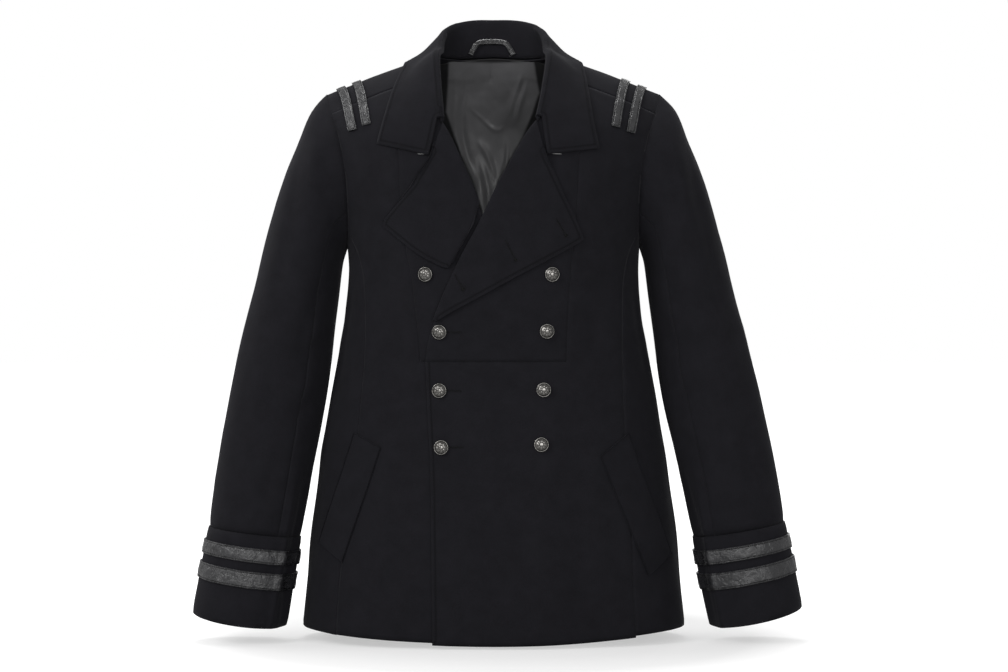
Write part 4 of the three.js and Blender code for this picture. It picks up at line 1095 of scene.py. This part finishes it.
class COAT_OT_cloth(Operator):
    """Makes the wool pieces of the coat, with their folds, seams and edges"""

    bl_idname = "coat.cloth"
    bl_label = "Wool pieces"

    def execute(self, context):
        settings = context.scene.coat_cloth
        finishes = materials()
        sewn = {"collar": sewn_collar, "front_left": sewn_front}
        for side in SIDES:
            sewn[f"lapel_{side}"] = sewn_lapel(side)
        for row, node in named_nodes(PIECES):
            piece = dress(
                node, row["levels"], row["dip"], settings.pucker, sewn.get(node),
                thin=row.get("thin", 0.0), close=SEAM_CLOSE if row["held"] == "hung" else 0.0,
            )
            finish_piece(piece, node, finishes["wool"])
        return {"FINISHED"}


class COAT_OT_lining(Operator):
    """Makes the wrinkled satin lining inside the back of the neck"""

    bl_idname = "coat.lining"
    bl_label = "Lining"

    def execute(self, context):
        piece = dense_copy("lining_back", 4)
        mesh = piece.data
        points = mesh_points(mesh)
        x, _, z = points.T
        move = LINING_LIFT + sum(crease_height(x, z, crease) for crease in LINING_CREASES)
        for wave in LINING_WAVES:
            stretched = points * np.array([1.0, 1.0, wave["stretch"]])
            move += wave["height"] * soft_noise(stretched, wave["size"], wave["seed"])
        off_sides = ease(0.0, 10.0, LINING_HALF_WIDTH - np.abs(x))
        off_ends = ease(-300.0, -285.0, z) * (1.0 - 0.75 * ease(-14.0, 8.0, z))
        heights = [row["z"] for row in FACING_AND_SHADE_EDGE]
        low = np.interp(z, heights, [row["low"] for row in FACING_AND_SHADE_EDGE])
        high = np.interp(z, heights, [row["high"] for row in FACING_AND_SHADE_EDGE])
        # Past the facing edge the satin is darkened: partly the dark wool facing, partly painted shade in
        # the neck's inner corners
        facing = np.maximum(ease(0.0, 4.0, low - x), ease(0.0, 4.0, x - high)) * ease(-200.0, -178.0, z)
        # Painted shade along the top few millimetres of the lining, darkening its lit upper rim
        top_rim_painted_shade = ease(z.max() - 4.5, z.max() - 2.5, z)
        facing = np.maximum(facing, top_rim_painted_shade)
        add_value(mesh, "facing", facing)
        points[:, 1] -= np.maximum(move, 0.0) * off_sides * off_ends
        raised = ease(-6.0, 8.0, z) * (1.0 - ease(48.0, 66.0, np.abs(x)))
        points[:, 2] += LINING_RAISED * raised
        points[:, 1] -= LINING_FORWARD * raised
        put_points(mesh, points)
        smooth_faces(mesh)
        finish_piece(piece, "lining_back", materials()["lining"])
        return {"FINISHED"}


class COAT_OT_leather(Operator):
    """Makes the creased leather strips on the shoulders and cuffs, and the hanger loop"""

    bl_idname = "coat.leather"
    bl_label = "Leather strips"

    def execute(self, context):
        finishes = materials()

        def all_round(middle):
            return np.ones(len(middle), bool)

        def crumple(points, gap):
            fold = 1.0 - 2.0 * np.abs(soft_noise(points, 9.0, 31))
            small = 1.0 - 2.0 * np.abs(soft_noise(points, 4.0, 32))
            return 0.42 * fold + 0.2 * small - 0.35 * bell(gap - STRIP_INSET, 0.8)

        for row, node in named_nodes(LEATHER_PIECES):
            piece = dress(node, row["levels"], 0.2, 0.1, all_round, crumple)
            finish_piece(piece, node, finishes["leather"])
        loop = dense_copy("hanger_loop", 3)
        mesh = loop.data
        points = mesh_points(mesh)
        ends, _, _ = rim_edges(mesh, body_outward)
        gap = gap_to(points, rim_samples(points, ends))
        add_value(mesh, "seam_gap", gap)
        # Across the loop's middle the groove and its painted shade; its rims stay paler
        add_value(mesh, "sewn_gap", np.where(gap > LOOP_EDGE, STRIP_INSET, LOOP_PLAIN))
        points[:, 1] -= 0.3 * np.abs(soft_noise(points, 4.0, 33))
        put_points(mesh, points)
        smooth_faces(mesh)
        finish_piece(loop, "hanger_loop", finishes["leather"])
        return {"FINISHED"}


class COAT_OT_stitching(Operator):
    """Sews the top stitching and works the buttonholes"""

    bl_idname = "coat.stitching"
    bl_label = "Stitching and buttonholes"

    def execute(self, context):
        settings = context.scene.coat_cloth
        finishes = materials()
        top = {"inset": settings.stitch_inset, "pitch": settings.stitch_pitch, "length": 2.5, "width": 0.5}
        wool_rows = [{**top, "node": node} for node in ("collar", "lapel_left", "lapel_right", "front_left")]
        sew("stitches_wool", wool_rows, finishes["wool_thread"])
        leather_rows = [{**STRIP_STITCH, "node": node} for _, node in named_nodes(LEATHER_PIECES)]
        sew("stitches_leather", leather_rows, finishes["leather_thread"])
        self.buttonholes(finishes)
        self.collar_bars(finishes)
        return {"FINISHED"}

    def collar_bars(self, finishes):
        """A light thread bar under each corner of the collar."""
        matrices = []
        for bar in COLLAR_BARS:
            nodes = [f"{node}_{bar['side']}" for node in ("lapel", "front", "chest")]
            surfaces = [surface_of(made[node]["piece"]) for node in nodes]
            start, end = np.array(bar["ends"])
            place, normal = self.lay(surfaces, (start + end) / 2)
            run = Vector((end[0] - start[0], 0.0, end[1] - start[1]))
            matrices.append(thread_matrix(place, run, normal, run.length * MM, 1.3 * MM, 0.1 * MM))
        repeat_thread("collar_bars", matrices, finishes["bar"])

    def buttonholes(self, finishes):
        """Each buttonhole's cut is edged with close stitches across it, fanned round its eye; a near-black
        strip along the cut and a flat disc at the eye are painted shade of the hole.
        """
        surfaces = [surface_of(made[node]["piece"]) for node in ("lapel_left", "front_left", "chest_left")]
        matrices = []
        hole_shades = []
        for hole in KEYHOLES + PLAIN_HOLES:
            eye, end = np.array(hole["eye"]), np.array(hole["end"])
            way = (end - eye) / np.linalg.norm(end - eye)
            aside = np.array([-way[1], way[0]])
            length = np.linalg.norm(end - eye)
            radius = EYELET_RADIUS if hole in KEYHOLES else PLAIN_RADIUS
            places = [
                (eye + way * step + aside * sign * 0.9, aside * sign)
                for step in np.arange(radius, length, HOLE_PITCH) for sign in (-1.0, 1.0)
            ]
            for angle in np.radians(np.arange(-120, 121, 20)):
                fan = -way * math.cos(angle) + aside * math.sin(angle)
                places.append((eye + fan * (radius + 0.3), fan))
            for spot, across in places:
                place, normal = self.lay(surfaces, spot)
                run = Vector((across[0], 0.0, across[1]))
                matrices.append(thread_matrix(place, run, normal, 1.7 * MM, 0.7 * MM, 0.08 * MM))
            # Painted shade of the hole: a near-black strip along the cut and a flat disc at the eye
            run = Vector((way[0], 0.0, way[1]))
            for step in np.arange(0.0, length, 0.9):
                place, normal = self.lay(surfaces, eye + way * step)
                hole_shades.append(thread_matrix(place, run, normal, 2.0 * MM, 0.7 * MM, 0.02 * MM))
            place, normal = self.lay(surfaces, eye)
            eyelet_shade = thread_matrix(place, run, normal, 2.0 * radius * MM, 2.0 * radius * MM, 0.0)
            hole_shades.append(eyelet_shade @ Matrix.Diagonal((1.0, 1.0, 0.2, 1.0)))
        repeat_thread("buttonhole_stitches", matrices, finishes["wool_thread"])
        repeat_thread("buttonhole_slits", hole_shades, finishes["slit"])

    def lay(self, surfaces, spot):
        """The frontmost of the surfaces at a place of the front view."""
        hits = []
        for surface in surfaces:
            start = Vector((spot[0] * MM, IN_FRONT, spot[1] * MM))
            place, normal, _, _ = surface.ray_cast(start, Vector((0, 1, 0)))
            if place is not None:
                hits.append((place.y, place, normal))
        if not hits:
            raise RuntimeError(f"no cloth for a buttonhole at {spot[0]:.1f}, {spot[1]:.1f}")
        _, place, normal = min(hits, key=lambda hit: hit[0])
        return place, normal


class COAT_OT_buttons(Operator):
    """Makes the domed silver buttons, with a cord rim and a plain flower"""

    bl_idname = "coat.buttons"
    bl_label = "Buttons"

    def execute(self, context):
        finish = materials()["silver"]
        steps = context.scene.coat_trim.button_steps
        for node in sorted(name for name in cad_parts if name.startswith("button")):
            self.make(node, steps, finish)
        return {"FINISHED"}

    def make(self, node, steps, finish):
        solid = mesh_points(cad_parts[node].data)
        middle = solid.mean(0)
        _, ways = np.linalg.eigh(np.cov((solid - middle).T))
        up = ways[:, 0] * (-1.0 if ways[1, 0] > 0 else 1.0)
        heights = (solid - middle) @ up
        low, high = heights.min(), heights.max()
        flat = solid - middle - heights[:, None] * up
        radius = np.linalg.norm(flat - flat.mean(0), axis=1).max()
        lift = float(body_height((middle - up * 3.0)[None])[0])
        form = bmesh.new()
        height = high - low
        line = [form.verts.new((share * radius, 0.0, level * height)) for share, level in BUTTON_SECTION]
        edges = [form.edges.new(pair) for pair in zip(line[:-1], line[1:])]
        bmesh.ops.spin(
            form, geom=line + edges, cent=(0, 0, 0), axis=(0, 0, 1), angle=2 * math.pi, steps=steps,
            use_merge=True,
        )
        bmesh.ops.remove_doubles(form, verts=form.verts[:], dist=0.001)
        bmesh.ops.recalc_face_normals(form, faces=form.faces[:])
        hollows = []
        for vertex in form.verts:
            share = math.hypot(vertex.co.x, vertex.co.y) / radius
            turn = math.atan2(vertex.co.y, vertex.co.x)
            front = vertex.co.z > height * 0.45
            petal = bell(share - PETAL_PLACE, 0.17) * (0.5 + 0.5 * math.cos(BUTTON_PETALS * turn))
            cord = bell(share - CORD_PLACE, 0.05) * math.cos(BUTTON_CORDS * turn)
            if front:
                vertex.co.z += 0.46 * petal - 0.2 + 0.14 * cord
            groove = bell(share - 0.85, 0.035) + bell(share - 0.335, 0.03)
            ground = bell(share - PETAL_PLACE, 0.2) - petal
            # Hollows get the button's own tarnish; below the front, the rim and underside get 0.8 of the
            # tarnish as painted shade, a dark ring round the button
            hollows.append(min(1.0, groove + 0.6 * max(ground, 0.0)) if front else 0.8)
        mesh = bpy.data.meshes.new("silver_" + node)
        form.to_mesh(mesh)
        form.free()
        add_value(mesh, "hollow", hollows)
        turn = Vector((0, 0, 1)).rotation_difference(Vector(up)).to_matrix().to_4x4()
        base = Vector(middle + up * (low + lift) + flat.mean(0)) * MM
        mesh.transform(Matrix.Translation(base) @ turn @ Matrix.Scale(MM, 4))
        smooth_faces(mesh)
        piece = bpy.data.objects.new("silver_" + node, mesh)
        bpy.context.scene.collection.objects.link(piece)
        finish_piece(piece, node, finish)


class COAT_OT_stage(Operator):
    """Sets up the camera, the soft lights, the pale floor and the white surroundings"""

    bl_idname = "coat.stage"
    bl_label = "Stage"

    def execute(self, context):
        settings = context.scene.coat_stage
        camera = bpy.data.cameras.new("camera")
        camera.lens = CAMERA_LENS
        camera.sensor_width = SENSOR_WIDTH
        eye = bpy.data.objects.new("camera", camera)
        eye.location = CAMERA_PLACE
        eye.rotation_euler = (math.pi / 2, 0.0, 0.0)
        context.scene.collection.objects.link(eye)
        context.scene.camera = eye
        context.scene.view_settings.view_transform = "Standard"
        self.surroundings(settings.surround)
        self.floor(settings.white)
        for row in LAMPS:
            self.lamp(row["name"], row["place"], row["size"], getattr(settings, row["name"] + "_power"))
        return {"FINISHED"}

    def surroundings(self, dim):
        """White all round for the camera, and a weaker light on the coat."""
        world = bpy.context.scene.world or bpy.data.worlds.new("world")
        bpy.context.scene.world = world
        world.use_nodes = True
        tree = world.node_tree
        ground = next(node for node in tree.nodes if node.type == "BACKGROUND")
        ground.inputs[0].default_value = (1.0, 1.0, 1.0, 1.0)
        seen = tree.nodes.new("ShaderNodeLightPath").outputs["Is Camera Ray"]
        tree.links.new(math_node(tree, "MAXIMUM", seen, dim), ground.inputs[1])

    def floor(self, white):
        """A wide pale floor just below the hem, which catches the coat's soft shadow."""
        form = bmesh.new()
        bmesh.ops.create_grid(form, x_segments=1, y_segments=1, size=FLOOR_SIZE)
        mesh = bpy.data.meshes.new("floor")
        form.to_mesh(mesh)
        form.free()
        material, tree, shader, place = new_material("pale floor")
        shader.inputs["Base Color"].default_value = (FLOOR_TONE, FLOOR_TONE, FLOOR_TONE, 1.0)
        shader.inputs["Roughness"].default_value = 1.0
        shader.inputs["Specular IOR Level"].default_value = 0.0
        shader.inputs["Emission Color"].default_value = (1.0, 1.0, 1.0, 1.0)
        seen = tree.nodes.new("ShaderNodeLightPath").outputs["Is Camera Ray"]
        length = tree.nodes.new("ShaderNodeVectorMath")
        length.operation = "LENGTH"
        tree.links.new(place, length.inputs[0])
        past = math_node(tree, "SUBTRACT", length.outputs["Value"], SHADOW_REACH)
        away = math_node(tree, "MULTIPLY", past, SHADOW_FADE)
        glow = math_node(tree, "MAXIMUM", math_node(tree, "MINIMUM", away, 1.0), white)
        tree.links.new(math_node(tree, "MULTIPLY", seen, glow), shader.inputs["Emission Strength"])
        mesh.materials.append(material)
        floor = bpy.data.objects.new("floor", mesh)
        floor.location.z = CAD_BOX[0][2] - FLOOR_DROP
        bpy.context.scene.collection.objects.link(floor)

    def lamp(self, name, place, size, power):
        light = bpy.data.lights.new(name, "AREA")
        light.shape = "SQUARE"
        light.size = size
        light.energy = power
        lamp = bpy.data.objects.new(name, light)
        lamp.location = place
        aim = Vector(LAMP_AIM) - Vector(place)
        lamp.rotation_euler = aim.to_track_quat("-Z", "Y").to_euler()
        bpy.context.scene.collection.objects.link(lamp)


STEPS = (COAT_OT_stage, COAT_OT_cloth, COAT_OT_lining, COAT_OT_leather, COAT_OT_stitching, COAT_OT_buttons)


class COAT_PT_panel(Panel):
    bl_label = "Pea Coat"
    bl_idname = "COAT_PT_panel"
    bl_space_type = "VIEW_3D"
    bl_region_type = "UI"
    bl_category = "Pea Coat"

    def draw(self, context):
        for step in STEPS:
            self.layout.operator(step.bl_idname)
        for settings in (context.scene.coat_cloth, context.scene.coat_trim, context.scene.coat_stage):
            for name in settings.bl_rna.properties.keys():
                if name not in ("rna_type", "name"):
                    self.layout.prop(settings, name)


CLASSES = (ClothSettings, TrimSettings, StageSettings, *STEPS, COAT_PT_panel)


def register():
    for item in CLASSES:
        bpy.utils.register_class(item)
    bpy.types.Scene.coat_cloth = PointerProperty(type=ClothSettings)
    bpy.types.Scene.coat_trim = PointerProperty(type=TrimSettings)
    bpy.types.Scene.coat_stage = PointerProperty(type=StageSettings)


def unregister():
    for name in ("coat_cloth", "coat_trim", "coat_stage"):
        delattr(bpy.types.Scene, name)
    for item in reversed(CLASSES):
        bpy.utils.unregister_class(item)


def main():
    register()
    bpy.ops.coat.stage()
    bpy.ops.coat.cloth()
    bpy.ops.coat.lining()
    bpy.ops.coat.leather()
    bpy.ops.coat.stitching()
    bpy.ops.coat.buttons()


if __name__ == "__main__":
    main()
